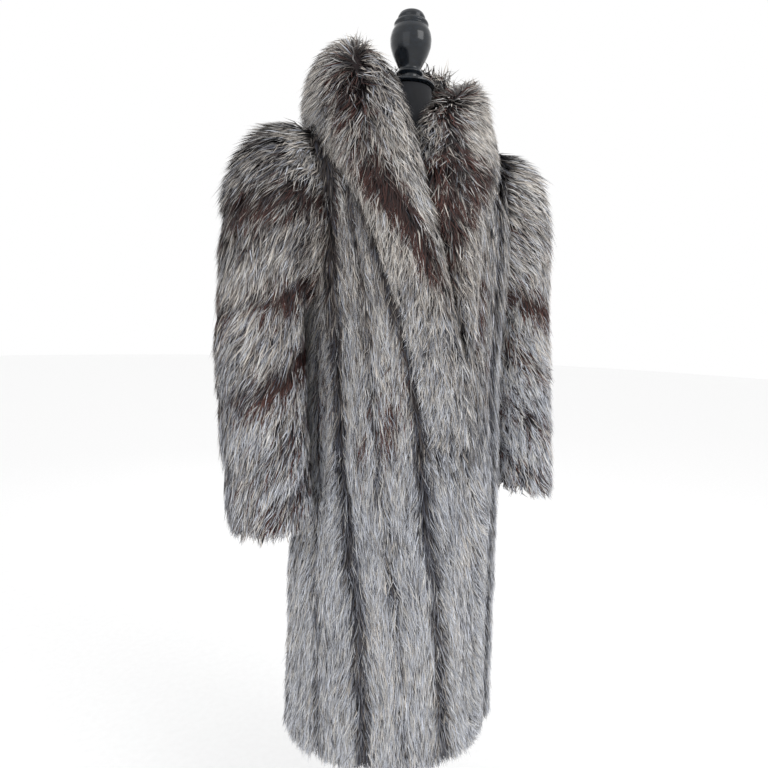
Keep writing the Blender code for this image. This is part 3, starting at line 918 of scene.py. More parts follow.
def behind_sleeve(turn: np.ndarray, level: np.ndarray, loose: bool) -> np.ndarray:
    """Where a sleeve hangs against the body.

    Args:
        turn: Turns, in degrees.
        level: Levels.
        loose: Whether the fur is pressed less, and not so high.

    Returns:
        1 beneath the sleeve, 0 clear of it.
    """
    side = np.abs(np.abs((turn + 180) % 360 - 180) - 90)
    near = (1 - smooth_step(side, 26, 40)) * smooth_step(level, 0.70, 0.78)
    if loose:
        return 0.6 * near * (1 - smooth_step(level, 1.10, 1.22))
    return near * (1 - smooth_step(level, 1.24, 1.40))


# ---------------------------------------------------------------- fur

# a lock's five points, two at its root, two at its middle and its tip: side, place up the tone map, and the
# corners of its quad and its triangle
RIBBON_SIDES = np.array([-1, 1, -1, 1, 0])
RIBBON_HEIGHTS = np.array([0.03, 0.03, 0.5, 0.5, 0.97])
RIBBON_FACES = np.array([0, 1, 3, 2, 2, 3, 4])
RIBBON_STARTS = np.array([0, 4])


@dataclass
class FurField:
    """A piece of fur as grids of (rows, columns): where its hide is and how the hair lies on it."""

    hide: np.ndarray
    normal: np.ndarray
    nap: np.ndarray
    depth: np.ndarray
    crest: np.ndarray
    light: np.ndarray
    mahogany: np.ndarray
    warm: np.ndarray
    length: np.ndarray
    lift: np.ndarray
    density: np.ndarray

    def stack(self) -> np.ndarray:
        """Every channel side by side.

        Returns:
            Hide 0-2, normal 3-5, nap 6-8, then one column for each number.
        """
        numbers = (
            self.depth,
            self.crest,
            self.light,
            self.mahogany,
            self.warm,
            self.length,
            self.lift,
            self.density,
        )
        return np.concatenate([self.hide, self.normal, self.nap, np.stack(numbers, -1)], -1)


@dataclass
class FurCoatPiece:
    """What every fur piece shares: its pelt and the locks that grow from it.

    The pelt's outside stands off the hide by under_share of the fur's depth. A lock is a flat ribbon, a
    quad and a triangle, a little broader at its middle than at its root and ending in a point. It roots
    at root_share of the depth and leans off the hide along the nap: tip = root + nap * length +
    normal * rise. The tips of a clump are drawn together. Each middle lies a fifth of the rise above the
    halfway point and bows to one side, and the curl turns the tip to the other.
    """

    name: str
    locks: int
    seed: int
    width: float = 0.0018
    under_share: float = 0.40
    root_share: float = 0.28
    in_clump: int = 6
    clump_spread: tuple[float, float] = (0.011, 0.0024)
    dark_share: float = 0.26
    stray_share: float = 0.05
    curl: float = 0.0022
    wrap: bool = False

    def grow(self, grid: FurField, material: bpy.types.Material) -> bpy.types.Object:
        """The fur mesh.

        Args:
            grid: The piece's fur field.
            material: The hair's finish.

        Returns:
            The object, with its tone map.
        """
        rng = np.random.default_rng(self.seed)
        values = grid.stack()
        if self.wrap:
            values = np.concatenate([values, values[:, :1]], 1)
        rows, columns = values.shape[:2]
        way_up = np.linalg.norm(np.diff(values[..., :3], axis=0), axis=-1)[:, :-1]
        way_round = np.linalg.norm(np.diff(values[..., :3], axis=1), axis=-1)[:-1]
        weight = (way_up * way_round * values[:-1, :-1, -1]).ravel()
        clumps = self.locks // self.in_clump
        chosen = np.searchsorted(np.cumsum(weight) / weight.sum(), rng.random(clumps))
        row, column = np.divmod(np.minimum(chosen, weight.size - 1), columns - 1)
        centre_row = row + rng.random(clumps)
        centre_column = column + rng.random(clumps)
        step_up, step_round = way_up[row, column], way_round[row, column]

        count = clumps * self.in_clump
        owner = np.repeat(np.arange(clumps), self.in_clump)
        along = rng.normal(0, self.clump_spread[0], count) / np.maximum(step_up[owner], 1e-4)
        across = rng.normal(0, self.clump_spread[1], count) / np.maximum(step_round[owner], 1e-4)
        at_row = np.clip(centre_row[owner] + along, 0, rows - 1.001)
        at_column = centre_column[owner] + across
        at_column = at_column % (columns - 1) if self.wrap else np.clip(at_column, 0, columns - 1.001)
        lock = self._read(values, at_row, at_column)
        clump = self._read(values, centre_row, centre_column)
        return self._ribbons(rng, lock, clump, owner, material)

    def _read(self, values: np.ndarray, at_row: np.ndarray, at_column: np.ndarray) -> np.ndarray:
        """The channels between grid points, blended from the four around each place.

        Args:
            values: The stacked channels, (rows, columns, channels).
            at_row: Places counted in rows.
            at_column: Places counted in columns.

        Returns:
            (places, channels).
        """
        row = np.minimum(at_row.astype(int), values.shape[0] - 2)
        column = np.minimum(at_column.astype(int), values.shape[1] - 2)
        down, right = (at_row - row)[:, None], (at_column - column)[:, None]
        low = values[row, column] * (1 - right) + values[row, column + 1] * right
        high = values[row + 1, column] * (1 - right) + values[row + 1, column + 1] * right
        return low * (1 - down) + high * down

    def _turned(self, nap: np.ndarray, normal: np.ndarray, angle: np.ndarray) -> np.ndarray:
        """The nap laid into the hide's plane and turned about the normal.

        Args:
            nap: The way the hair lies.
            normal: Unit normals.
            angle: How far to turn it, in radians.

        Returns:
            Unit vectors.
        """
        flat = unit(nap - normal * (nap * normal).sum(1, keepdims=True))
        side = np.cross(flat, normal)
        return flat * np.cos(angle)[:, None] + side * np.sin(angle)[:, None]

    def _ribbons(
        self,
        rng: np.random.Generator,
        lock: np.ndarray,
        clump: np.ndarray,
        owner: np.ndarray,
        material: bpy.types.Material,
    ) -> bpy.types.Object:
        """The locks as ribbons. Those of a clump share a turn and a length, and their tips draw together.

        Args:
            rng: The piece's random numbers.
            lock: Each lock's channels.
            clump: Each clump's channels.
            owner: Each lock's clump.
            material: The hair's finish.

        Returns:
            The object.
        """
        count, clumps = len(lock), len(clump)
        place, normal = lock[:, :3], unit(lock[:, 3:6])
        swirl = lattice_noise(clump[:, :3], (0.05, 0.05, 0.09), self.seed) * 0.15
        swirl += lattice_noise(clump[:, :3], (0.016, 0.016, 0.035), self.seed + 1) * 0.09
        turn = (swirl + rng.normal(0, 0.06, clumps))[owner] + rng.normal(0, 0.04, count)
        nap = self._turned(lock[:, 6:9], normal, turn)
        depth, crest, light, mahogany, warm, length, lift = lock[:, 9:16].T

        dark = rng.random(count) < self.dark_share
        stray = rng.random(count) < self.stray_share
        clump_length = rng.normal(1.0, 0.13, clumps)[owner]
        length = length * np.clip(clump_length + rng.normal(0, 0.10, count), 0.55, 1.5)
        reach = 0.5 * depth + 0.5 * crest
        rise = reach * (0.96 + rng.normal(0, 0.10, count)) * (1 + lift) - depth * self.root_share
        rise = np.where(dark, rise * 0.80, rise)
        rise = np.where(stray, rise * 1.25 + 0.002, rise)
        root = place + normal * (depth * self.root_share)[:, None]
        tip = root + nap * length[:, None] + normal * rise[:, None]
        gather = np.zeros((clumps, 3))
        np.add.at(gather, owner, tip)
        gather /= self.in_clump
        pull = np.clip(rng.normal(0.42, 0.2, count), 0, 0.8)[:, None]
        tip = tip + (gather[owner] - tip) * pull
        way = tip - root
        side = unit(np.cross(way, normal))
        curl = (rng.normal(0, self.curl, clumps)[owner] + rng.normal(0, 0.55 * self.curl, count))[:, None]
        middle = root + way * 0.50 + normal * (np.maximum(rise, 0) * 0.20)[:, None] - side * curl
        tip = tip + side * curl

        roll = rng.normal(0, 0.45, count)[:, None]
        face = side * np.cos(roll) + np.cross(unit(way), side) * np.sin(roll)
        width = (self.width * rng.uniform(0.65, 1.25, count) * np.where(stray, 0.6, 1.0))[:, None]
        spine = np.stack([root, root, middle, middle, tip], 1)
        half = np.array([0.42, 0.42, 0.50, 0.50, 0.0]) * RIBBON_SIDES
        points = spine + (face * width)[:, None] * half[:, None]
        first = np.arange(count)[:, None]
        corners = (first * len(RIBBON_SIDES) + RIBBON_FACES).ravel()
        starts = (first * len(RIBBON_FACES) + RIBBON_STARTS).ravel()
        made = mesh_piece(self.name, points.reshape(-1, 3), corners, starts, material)
        lean = RIBBON_SIDES[None, :, None] * 0.55
        tilt = rng.normal(0, 0.16, count)[:, None, None]
        shading = normal[:, None] + face[:, None] * (lean + tilt) + unit(way)[:, None] * 0.10
        made.data.normals_split_custom_set_from_vertices(unit(shading).reshape(-1, 3).tolist())
        tone = self._tones(rng, light, mahogany, warm, dark, owner, clumps)
        self._map(made, tone, corners)
        return made

    def _tones(
        self,
        rng: np.random.Generator,
        light: np.ndarray,
        mahogany: np.ndarray,
        warm: np.ndarray,
        dark: np.ndarray,
        owner: np.ndarray,
        clumps: int,
    ) -> np.ndarray:
        """Each lock's place across the tone map: its kind of hair, then how pale it is within it.

        Args:
            rng: The piece's random numbers.
            light: How pale the fur is at each lock, about -1 to 1.
            mahogany: The chance of brown hair.
            warm: The chance of warm rather than cool hair.
            dark: Which locks are black.
            owner: Each lock's clump.
            clumps: How many clumps there are.

        Returns:
            Places from 0 to 1.
        """
        count = len(owner)
        kind = np.where(rng.random(count) < warm, Hair.WARM.value, Hair.COOL.value)
        kind = np.where(rng.random(count) < 0.40, Hair.SILVER.value, kind)
        kind = np.where(rng.random(count) < mahogany, Hair.MAHOGANY.value, kind)
        kind = np.where(dark, Hair.DARK.value, kind)
        pale = 0.58 + 0.42 * light + rng.normal(0, 0.22, clumps)[owner] + rng.normal(0, 0.20, count)
        return (kind + 0.06 + 0.88 * np.clip(pale, 0, 1)) / len(Hair)

    def _map(self, made: bpy.types.Object, tone: np.ndarray, corners: np.ndarray) -> None:
        """The tone map: u is the lock's tone, a hair's breadth wide, and v runs from its root to its tip.

        Args:
            made: The fur.
            tone: Each lock's place across the map.
            corners: The vertex at each face corner.
        """
        breadth = 0.0012
        across = tone[:, None] + RIBBON_SIDES * breadth
        up = np.broadcast_to(RIBBON_HEIGHTS, across.shape)
        spots = np.stack([across, up], -1).reshape(-1, 2)
        layer = made.data.uv_layers.new(name=BAKE_MAP)
        layer.data.foreach_set("uv", spots[corners].astype(np.float32).ravel())

    def pelt(self, grid: FurField, shift: np.ndarray, material: bpy.types.Material) -> bpy.types.Object:
        """The pelt: a thin wall from the hide to the top of the underfur.

        Args:
            grid: The piece's fur field.
            shift: How far each point moves off its seams, as hide.
            material: The underfur's finish.

        Returns:
            The object.
        """
        outer = grid.hide + grid.normal * (grid.depth * self.under_share)[..., None]
        return wall_piece(self.name.replace("_fur", "_pelt"), grid.hide + shift, outer + shift, self.wrap, material)


# turn, level, half turn, half level, amount of each place on the body where the brown shows
BODY_BROWN: Rows = (
    (-30.0, 0.975, 5.0, 0.050, 0.75),
    (-41.0, 0.930, 3.0, 0.035, 0.40),
    (-22.0, 1.060, 4.0, 0.040, 0.35),
    (20.0, 1.170, 4.0, 0.050, 0.80),
    (30.0, 1.060, 4.0, 0.040, 0.40),
    (-58.0, 1.330, 5.0, 0.040, 0.35),
    (-70.0, 1.000, 6.0, 0.050, 0.30),
    (150.0, 1.150, 6.0, 0.050, 0.50),
    (205.0, 0.980, 5.0, 0.050, 0.50),
    (228.0, 1.180, 5.0, 0.060, 0.45),
    (172.0, 0.760, 5.0, 0.050, 0.30),
)


@dataclass
class BodyPanel(FurCoatPiece):
    """A fur panel of the body, cut from long pelt strips.

    The hair runs down each strip and parts to both sides of the lines between strips. Its angle off the
    strip is the sum over the lines of sign(d) * part * exp(-|d| / 18 mm), with d the distance to the line.
    """

    lines: tuple[str, ...] = ()
    armholes: tuple[float, float] = (1.0, 1.0)
    part_angle: float = 0.44
    part_reach: float = 0.018
    groove_share: float = 0.36
    groove_width: float = 0.0065
    # width of the painted shade that darkens the tips along each line between strips
    painted_shade_width: float = 0.0045
    hem_reach: float = 0.349
    length_mean: float = 0.050

    def edges(self, levels: np.ndarray) -> tuple[np.ndarray, np.ndarray]:
        """The turns of the panel's two side edges at these levels."""
        raise NotImplementedError

    def cover(self, turn: np.ndarray, level: np.ndarray, loose: bool) -> np.ndarray:
        """How much lies on the panel, from 0 to 1. loose fur stays up closer to what covers it."""
        raise NotImplementedError

    def lifted(self, turn: np.ndarray, level: np.ndarray) -> np.ndarray:
        """How far the hide stands off the body surface."""
        return np.zeros_like(turn)

    def panel_levels(self, turn: np.ndarray, level: np.ndarray) -> np.ndarray:
        """The level at each point of the grid."""
        return level

    def seam_shift(self, shape: tuple[int, int]) -> np.ndarray:
        """How far each point moves off its seams.

        Args:
            shape: The grid's rows and columns.

        Returns:
            Moves, (rows, columns, 3).
        """
        shift = np.zeros((*shape, 3))
        shift[-1, :, 1] = -SEAM / 2
        return shift

    def _under_collar(
        self, turn: np.ndarray, level: np.ndarray, loose: bool
    ) -> tuple[np.ndarray, np.ndarray, np.ndarray]:
        """How much the collar covers each place.

        Args:
            turn: Turns, in degrees.
            level: Levels.
            loose: Whether the fur stays up closer to what covers it.

        Returns:
            The cover of the collar round the neck, of the right lapel and of the left one, from 0 to 1.
        """
        point = FORM.point(turn, level)
        reach = np.hypot(point[..., 0], point[..., 1])
        inside, outside, wide = (-4, 3, 0.165) if loose else (9, 18, 0.185)
        around = smooth_step(level, 1.33, 1.37) * (1 - smooth_step(reach, wide, wide + 0.02))
        right_turn = lapel_turn(level, RIGHT_LAPEL)
        on_right = smooth_step(turn, right_turn - outside, right_turn - inside)
        on_right = on_right * smooth_step(level, 0.84, 0.93)
        left_turn = lapel_turn(level, LEFT_LAPEL)
        on_left = 1 - smooth_step(turn, left_turn + inside, left_turn + outside)
        return around, on_right, on_left * smooth_step(level, 0.95, 1.05)

    def _strips(
        self, turn: np.ndarray, level: np.ndarray, degree: np.ndarray
    ) -> tuple[np.ndarray, np.ndarray, np.ndarray, np.ndarray]:
        """What the lines between the pelt strips do to the fur.

        Args:
            turn: Turns, in degrees.
            level: Levels.
            degree: The length of one degree of turn there.

        Returns:
            The hair's angle off the strip, the strip's slope in degrees a metre, the share of the depth
            that the groove takes, and the painted shade along the line, which darkens the tips there.
        """
        angle, slope, near, groove, painted_shade = (np.zeros_like(turn) for _ in range(5))
        for name in self.lines:
            part = STRIP_LINES[name][1]
            line = strip_line(name, level)
            away = (turn - line) * degree
            angle += self.part_angle * part * np.tanh(away / 0.002) * np.exp(-np.abs(away) / self.part_reach)
            weight = 1 / (np.abs(away) + 0.01) ** 2
            slope += weight * (strip_line(name, level + 0.01) - strip_line(name, level - 0.01)) / 0.02
            near += weight
            groove = np.maximum(groove, self.groove_share * part * np.exp(-((away / self.groove_width) ** 2)))
            # painted shade: the tips are darkened along each line, where shade falls into the groove
            painted_shade = np.maximum(painted_shade, part * np.exp(-((np.abs(away) / self.painted_shade_width) ** 1.5)))
        return angle, slope / near, groove, painted_shade

    def field(self, columns: int, rows: tuple[int, int], loose: bool) -> FurField:
        """The panel's fur on a grid.

        Args:
            columns: Points across the panel.
            rows: Spans of the skirt and of the yoke.
            loose: Whether the fur is only lightly pressed by what lies on it.

        Returns:
            The fur field.
        """
        levels = FORM.levels(*rows)
        first, last = self.edges(levels)
        share = np.linspace(0, 1, columns)[None, :]
        turn = first[:, None] + (last - first)[:, None] * share
        level = self.panel_levels(turn, np.repeat(levels[:, None], columns, 1))
        normal = FORM.normal(turn, level)
        hide = FORM.point(turn, level) + normal * self.lifted(turn, level)[..., None]

        degree = np.linalg.norm(FORM.point(turn + 0.5, level) - FORM.point(turn - 0.5, level), axis=-1)
        angle, slope, groove, painted_shade = self._strips(turn, level, degree)
        down = unit(FORM.point(turn - slope * 0.01, level - 0.01) - FORM.point(turn, level))
        across = unit(FORM.point(turn + 0.5, level) - FORM.point(turn - 0.5, level))
        angle = angle + self.edge_lean(share, level)
        nap = unit(down * np.cos(angle)[..., None] + across * np.sin(angle)[..., None])

        ease = 1 - 0.12 * smooth_step(level, 1.25, 1.45)
        cover = self.cover(turn, level, loose)
        crest = squeeze(squeeze(FUR * ease, cover), behind_sleeve(turn, level, loose))
        depth = np.minimum(crest, np.maximum(crest * (1 - groove), 0.004))
        point = FORM.point(turn, level)
        streaks = lattice_noise(point, (0.013, 0.013, 0.085), self.seed + 5)
        clouds = lattice_noise(point, (0.05, 0.05, 0.11), self.seed + 6)
        upper = smooth_step(level, 0.80, 1.28)
        to_left = smooth_step(point[..., 0], 0.02, 0.15)
        light = 0.24 - (0.60 - 0.20 * to_left) * upper + 0.30 * to_left * (1 - upper)
        # the painted shade of the strip lines darkens the tips here
        light = light + streaks * (0.34 + 0.16 * upper) + clouds * 0.24 - 2.0 * painted_shade
        light = light - 0.9 * self.shadow(turn, level, degree)
        brown = np.zeros_like(turn)
        for spot_turn, spot_level, half_turn, half_level, amount in BODY_BROWN:
            off = ((turn - spot_turn) / half_turn) ** 2 + ((level - spot_level) / half_level) ** 2
            brown = np.maximum(brown, amount * np.exp(-off))
        brown = brown + 0.10 * upper * smooth_step(clouds, 0.2, 0.8)
        warm = 0.12 + 0.60 * upper + 0.25 * clouds - 0.25 * to_left
        length = self.length_mean * (0.6 + 0.4 * smooth_step(crest, 0.005, 0.02))
        return FurField(
            hide=hide,
            normal=normal,
            nap=nap,
            depth=depth,
            crest=crest,
            light=light,
            mahogany=np.clip(brown, 0, 1),
            warm=np.clip(warm, 0, 1),
            length=np.minimum(length, 1.08 * (level - self.hem_reach)),
            lift=np.zeros_like(turn),
            density=np.clip(1.0 - 0.85 * smooth_step(cover, 0.5, 1.0), 0.1, 1.0),
        )

    def edge_lean(self, share: np.ndarray, level: np.ndarray) -> np.ndarray:
        """The hair's extra lean: towards the sleeve beside the armhole.

        Args:
            share: Places across the panel, from 0 to 1.
            level: Levels.

        Returns:
            Angles, in radians.
        """
        first, last = self.armholes
        beside = last * smooth_step(share, 0.88, 1.0) - first * (1 - smooth_step(share, 0.0, 0.12))
        return 0.6 * beside * smooth_step(level, 1.13, 1.20)

    def shadow(self, turn: np.ndarray, level: np.ndarray, degree: np.ndarray) -> np.ndarray:
        """The dark line, from 0 to 1, along the edge of what lies on the panel."""
        return 0 * turn


@dataclass
class RightFront(BodyPanel):
    """The right front, which laps over the left one."""

    def edges(self, levels: np.ndarray) -> tuple[np.ndarray, np.ndarray]:
        """From the right side seam to the free edge."""
        return -FORM.side_turn(levels), right_edge(levels)

    def cover(self, turn: np.ndarray, level: np.ndarray, loose: bool) -> np.ndarray:
        """The collar and the right lapel."""
        around, on_right, _ = self._under_collar(turn, level, loose)
        return np.maximum(around, on_right)

    def lifted(self, turn: np.ndarray, level: np.ndarray) -> np.ndarray:
        """Up where it laps over the left front."""
        start = left_edge(level)
        return LAP_LIFT * smooth_step(turn, start - LAP_RAMP - 5, start - 5)

    def edge_lean(self, share: np.ndarray, level: np.ndarray) -> np.ndarray:
        """Also outwards over the free edge."""
        return super().edge_lean(share, level) + 0.5 * smooth_step(share, 0.93, 1.0)

    def shadow(self, turn: np.ndarray, level: np.ndarray, degree: np.ndarray) -> np.ndarray:
        """Along the right lapel."""
        away = (turn + 1 - lapel_turn(level, RIGHT_LAPEL)) * degree
        return np.exp(-((away / 0.011) ** 2)) * smooth_step(level, 0.92, 1.0)


@dataclass
class LeftFront(BodyPanel):
    """The left front, pressed flat beneath the right one."""

    def edges(self, levels: np.ndarray) -> tuple[np.ndarray, np.ndarray]:
        """From the edge beneath the lap to the left side seam."""
        return left_edge(levels), FORM.side_turn(levels)

    def cover(self, turn: np.ndarray, level: np.ndarray, loose: bool) -> np.ndarray:
        """The cover of the collar, the left lapel and the right front.

        Args:
            turn: Turns, in degrees.
            level: Levels.
            loose: Whether the fur stays up closer to what covers it.

        Returns:
            Cover, from 0 to 1.
        """
        around, _, on_left = self._under_collar(turn, level, loose)
        lap_end = right_edge(level) + (-4 if loose else 5)
        lapped = 1 - smooth_step(turn, lap_end, lap_end + LAP_RAMP * (0.6 if loose else 1.0))
        return np.maximum(np.maximum(around, on_left), lapped)

    def shadow(self, turn: np.ndarray, level: np.ndarray, degree: np.ndarray) -> np.ndarray:
        """The dark line along the left lapel and the right front's edge.

        Args:
            turn: Turns, in degrees.
            level: Levels.
            degree: The length of one degree of turn there.

        Returns:
            Shade, from 0 to 1.
        """
        lapel = (turn - 1 - lapel_turn(level, LEFT_LAPEL)) * degree
        lap = (turn - 1 - right_edge(level)) * degree
        beside = np.exp(-((lapel / 0.011) ** 2)) * smooth_step(level, 1.10, 1.16)
        return np.maximum(beside, np.exp(-((lap / 0.010) ** 2)) * (1 - smooth_step(level, 1.10, 1.16)))


@dataclass
class Back(BodyPanel):
    """The back, in one piece from side seam to side seam."""

    def edges(self, levels: np.ndarray) -> tuple[np.ndarray, np.ndarray]:
        """From the left side seam round to the right one."""
        return 180 - FORM.side_turn(levels), 180 + FORM.side_turn(levels)

    def cover(self, turn: np.ndarray, level: np.ndarray, loose: bool) -> np.ndarray:
        """The collar."""
        return self._under_collar(turn, level, loose)[0]

    def panel_levels(self, turn: np.ndarray, level: np.ndarray) -> np.ndarray:
        """The levels, which dip along the neckline."""
        return FORM.back_levels(turn, level)

    def seam_shift(self, shape: tuple[int, int]) -> np.ndarray:
        """Off the side seams and the shoulder seams, to the back.

        Args:
            shape: The grid's rows and columns.

        Returns:
            Moves, (rows, columns, 3).
        """
        shift = np.zeros((*shape, 3))
        shift[:, 0, 1] = shift[:, -1, 1] = SEAM / 2
        shift[-1, :, 1] = SEAM / 2
        return shift


def along_stack(stack: np.ndarray, at: np.ndarray) -> np.ndarray:
    """The smooth curve through a stack of rows, a cubic with its own slopes.

    Args:
        stack: The rows, of any shape.
        at: Where to read it, counted in rows.

    Returns:
        One row for each place.
    """
    slopes = np.gradient(stack, axis=0)
    low = np.clip(np.floor(at).astype(int), 0, len(stack) - 2)
    share = (at - low).reshape(-1, *([1] * (stack.ndim - 1)))
    return (
        stack[low] * (1 + 2 * share) * (1 - share) ** 2
        + slopes[low] * share * (1 - share) ** 2
        + stack[low + 1] * share**2 * (3 - 2 * share)
        + slopes[low + 1] * share**2 * (share - 1)
    )


@dataclass
class Sleeve(FurCoatPiece):
    """A sleeve: a tube of fur in tiers from the armhole to the open cuff.

    Each tier's hair covers the roots of the next, which part along a slanting line and show the brown.
    side is -1 for the wearer's right. flare is the share of the tube's width kept, and cap_lift how much
    higher its cap stands.
    """

    side: int = -1
    flare: float = 1.0
    cap_lift: float = 0.0
    tiers: tuple[tuple[float, float], ...] = ()
    pressed: float = 0.0065
    outer_fur: float = 0.0245
    slant: float = 0.032
    tone: float = 0.02
    shade: float = 0.48
    length_mean: float = 0.052

    def _armhole(self, columns: int, loose: bool) -> tuple[np.ndarray, np.ndarray, np.ndarray]:
        """The armhole's ring, at even steps of its length.

        Args:
            columns: Points round the ring.
            loose: Whether the fur is only lightly pressed.

        Returns:
            The points, the fur's depth at each and their angles.
        """
        levels = FORM.levels(1, 28)[1:]
        front = FORM.side_turn(levels)
        turns = np.concatenate([front, 180 - front[-2:0:-1]])
        ring_levels = np.concatenate([levels, levels[-2:0:-1]])
        start = FORM.point(turns * self.side, ring_levels)
        past = np.where(turns > 90, turns + 4, turns - 4) * self.side
        away = start - FORM.point(past, ring_levels)
        away[0] = (0, 0, 1)
        away[len(turns) // 2] = (self.side, 0, 0)
        start = start + unit(away) * SEAM
        fur = 0.019 * (1 - 0.12 * smooth_step(ring_levels, 1.25, 1.45))
        fur = squeeze(fur, behind_sleeve(turns * self.side, ring_levels, loose))
        closed = np.vstack([start, start[:1]])
        lengths = np.concatenate([[0], np.cumsum(np.linalg.norm(np.diff(closed, axis=0), axis=1))])
        ring = np.linspace(0, 2 * math.pi, columns, endpoint=False)
        at = ring / (2 * math.pi) * lengths[-1]
        points = np.stack([np.interp(at, lengths, closed[:, axis]) for axis in range(3)], -1)
        return points, np.interp(at, lengths, np.append(fur, fur[0])), ring

    def _tube(self, columns: int, steps: int, loose: bool) -> tuple[np.ndarray, np.ndarray, np.ndarray]:
        """The sleeve's rings from the armhole to the cuff.

        Args:
            columns: Points round a ring.
            steps: Rings to each section.
            loose: Whether the fur is only lightly pressed at the shoulder.

        Returns:
            The hide's points, the height of the fur and the angles round a ring.
        """
        start, start_fur, ring = self._armhole(columns, loose)
        facing = 0.5 + 0.5 * np.cos(ring)
        rings, furs = [start], [start_fur]
        for inner_x, inner_z, outer_x, outer_z, centre_y, half_depth, depth in SLEEVE_SECTIONS:
            raised = outer_z + self.cap_lift * smooth_step(outer_z, 1.25, 1.37)
            reach = np.array([self.side * self.flare * (outer_x - inner_x) / 2, 0, (raised - inner_z) / 2])
            centre = np.array([self.side * inner_x, centre_y, inner_z]) + reach
            forward = -np.sin(ring)[:, None] * np.array([0, half_depth, 0])
            rings.append(centre - np.cos(ring)[:, None] * reach + forward)
            furs.append(np.minimum(FUR, depth * (1 + (self.pressed / depth - 1) * smooth_step(facing, 0.55, 0.9))))
        at = np.linspace(0, len(rings) - 1, (len(rings) - 1) * steps + 1)
        hide, fur = along_stack(np.array(rings), at), along_stack(np.array(furs), at)
        crest = np.where(facing[None, :] < 0.55, np.maximum(fur, self.outer_fur), fur)
        crest[: steps + 1] = fur[: steps + 1]
        if loose:
            crest = np.maximum(crest, 0.024 * smooth_step(hide[..., 2], 1.16, 1.26))
        return hide, crest, ring

    def _tiers(self, hide: np.ndarray, ring: np.ndarray) -> tuple[np.ndarray, np.ndarray]:
        """The tiers that the hair stands in, each along its own slanting line.

        Args:
            hide: The hide's points.
            ring: The angles round a ring.

        Returns:
            How far each point lies below its tier's line, at most 1, and how brown the hair is there.
        """
        height = hide[..., 2] - self.slant * np.cos(ring)[None, :]
        height = height + 0.010 * lattice_noise(hide, (0.05, 0.05, 0.08), self.seed + 9)
        below = np.full(height.shape, 1.0)
        brown = np.zeros_like(height)
        for tier, amount in self.tiers:
            under = tier - height
            below = np.where(under > 0, np.minimum(below, under), below)
            brown = np.maximum(brown, amount * np.exp(-(((under - 0.022) / 0.026) ** 2)))
        patch = 0.85 + 0.85 * lattice_noise(hide, (0.035, 0.035, 0.12), self.seed + 2)
        return below, brown * np.clip(patch + 0.40 * np.cos(ring)[None, :], 0, 1)

    def field(self, columns: int, steps: int, loose: bool) -> FurField:
        """The sleeve's fur on a grid of rings.

        Args:
            columns: Points round a ring.
            steps: Rings to each section.
            loose: Whether the fur is only lightly pressed at the shoulder.

        Returns:
            The fur field.
        """
        hide, crest, ring = self._tube(columns, steps, loose)
        looped = np.concatenate([hide[:, -1:], hide, hide[:, :1]], 1)
        round_tube = unit(looped[:, 2:] - looped[:, :-2])
        down_tube = unit(np.gradient(hide, axis=0))
        normal = unit(np.cross(down_tube, round_tube)) * self.side
        out = hide - hide.mean(1, keepdims=True)
        normal = normal * np.sign((normal * out).sum())

        below, brown = self._tiers(hide, ring)
        shallow = 1 - smooth_step(below, 0.0, 0.050)
        level = hide[..., 2]
        lean = np.sin(ring)[None, :] * (0.30 + 0.30 * shallow + 0.20 * smooth_step(level, 0.9, 1.3))
        nap = unit(down_tube * np.cos(lean)[..., None] + round_tube * np.sin(lean)[..., None])
        fall = 1.5 * smooth_step(level, 1.08, 1.26)[..., None] * np.array([0, 0, -1.0])
        nap = unit(nap + fall - normal * (fall * normal).sum(-1, keepdims=True))
        streaks = lattice_noise(hide, (0.016, 0.016, 0.06), self.seed + 5)
        clouds = lattice_noise(hide, (0.045, 0.045, 0.09), self.seed + 6)
        upper = smooth_step(level, 0.85, 1.32)
        to_cuff = np.linspace(0, 1, len(hide))[:, None]
        # painted shade: the tips are darkened just below each tier's line, beneath the overhanging tier above
        painted_shade = np.exp(-((below / 0.013) ** 2))
        light = self.tone - self.shade * upper + streaks * (0.34 + 0.22 * upper) + clouds * 0.24
        light = light - 1.2 * painted_shade - 0.55 * brown
        warm = 0.20 + 0.60 * upper + 0.25 * clouds - (0.20 if self.side > 0 else 0.0)
        return FurField(
            hide=hide,
            normal=normal,
            nap=nap,
            depth=crest * (1 - 0.42 * shallow),
            crest=crest * (1 - 0.12 * shallow),
            light=light,
            mahogany=np.clip(brown + 0.10 * smooth_step(clouds, 0.1, 0.8), 0, 1),
            warm=np.clip(warm, 0, 1),
            length=self.length_mean
            * (0.60 + 0.40 * smooth_step(crest, 0.006, 0.022))
            * (1 - 0.45 * smooth_step(to_cuff, 0.88, 0.99)),
            lift=np.full(level.shape, 0.02),
            density=np.ones_like(level),
        )


class Part(Enum):
    """The parts of the collar, in the order of its stations."""

    RIGHT = -1
    BEHIND = 0
    LEFT = 1


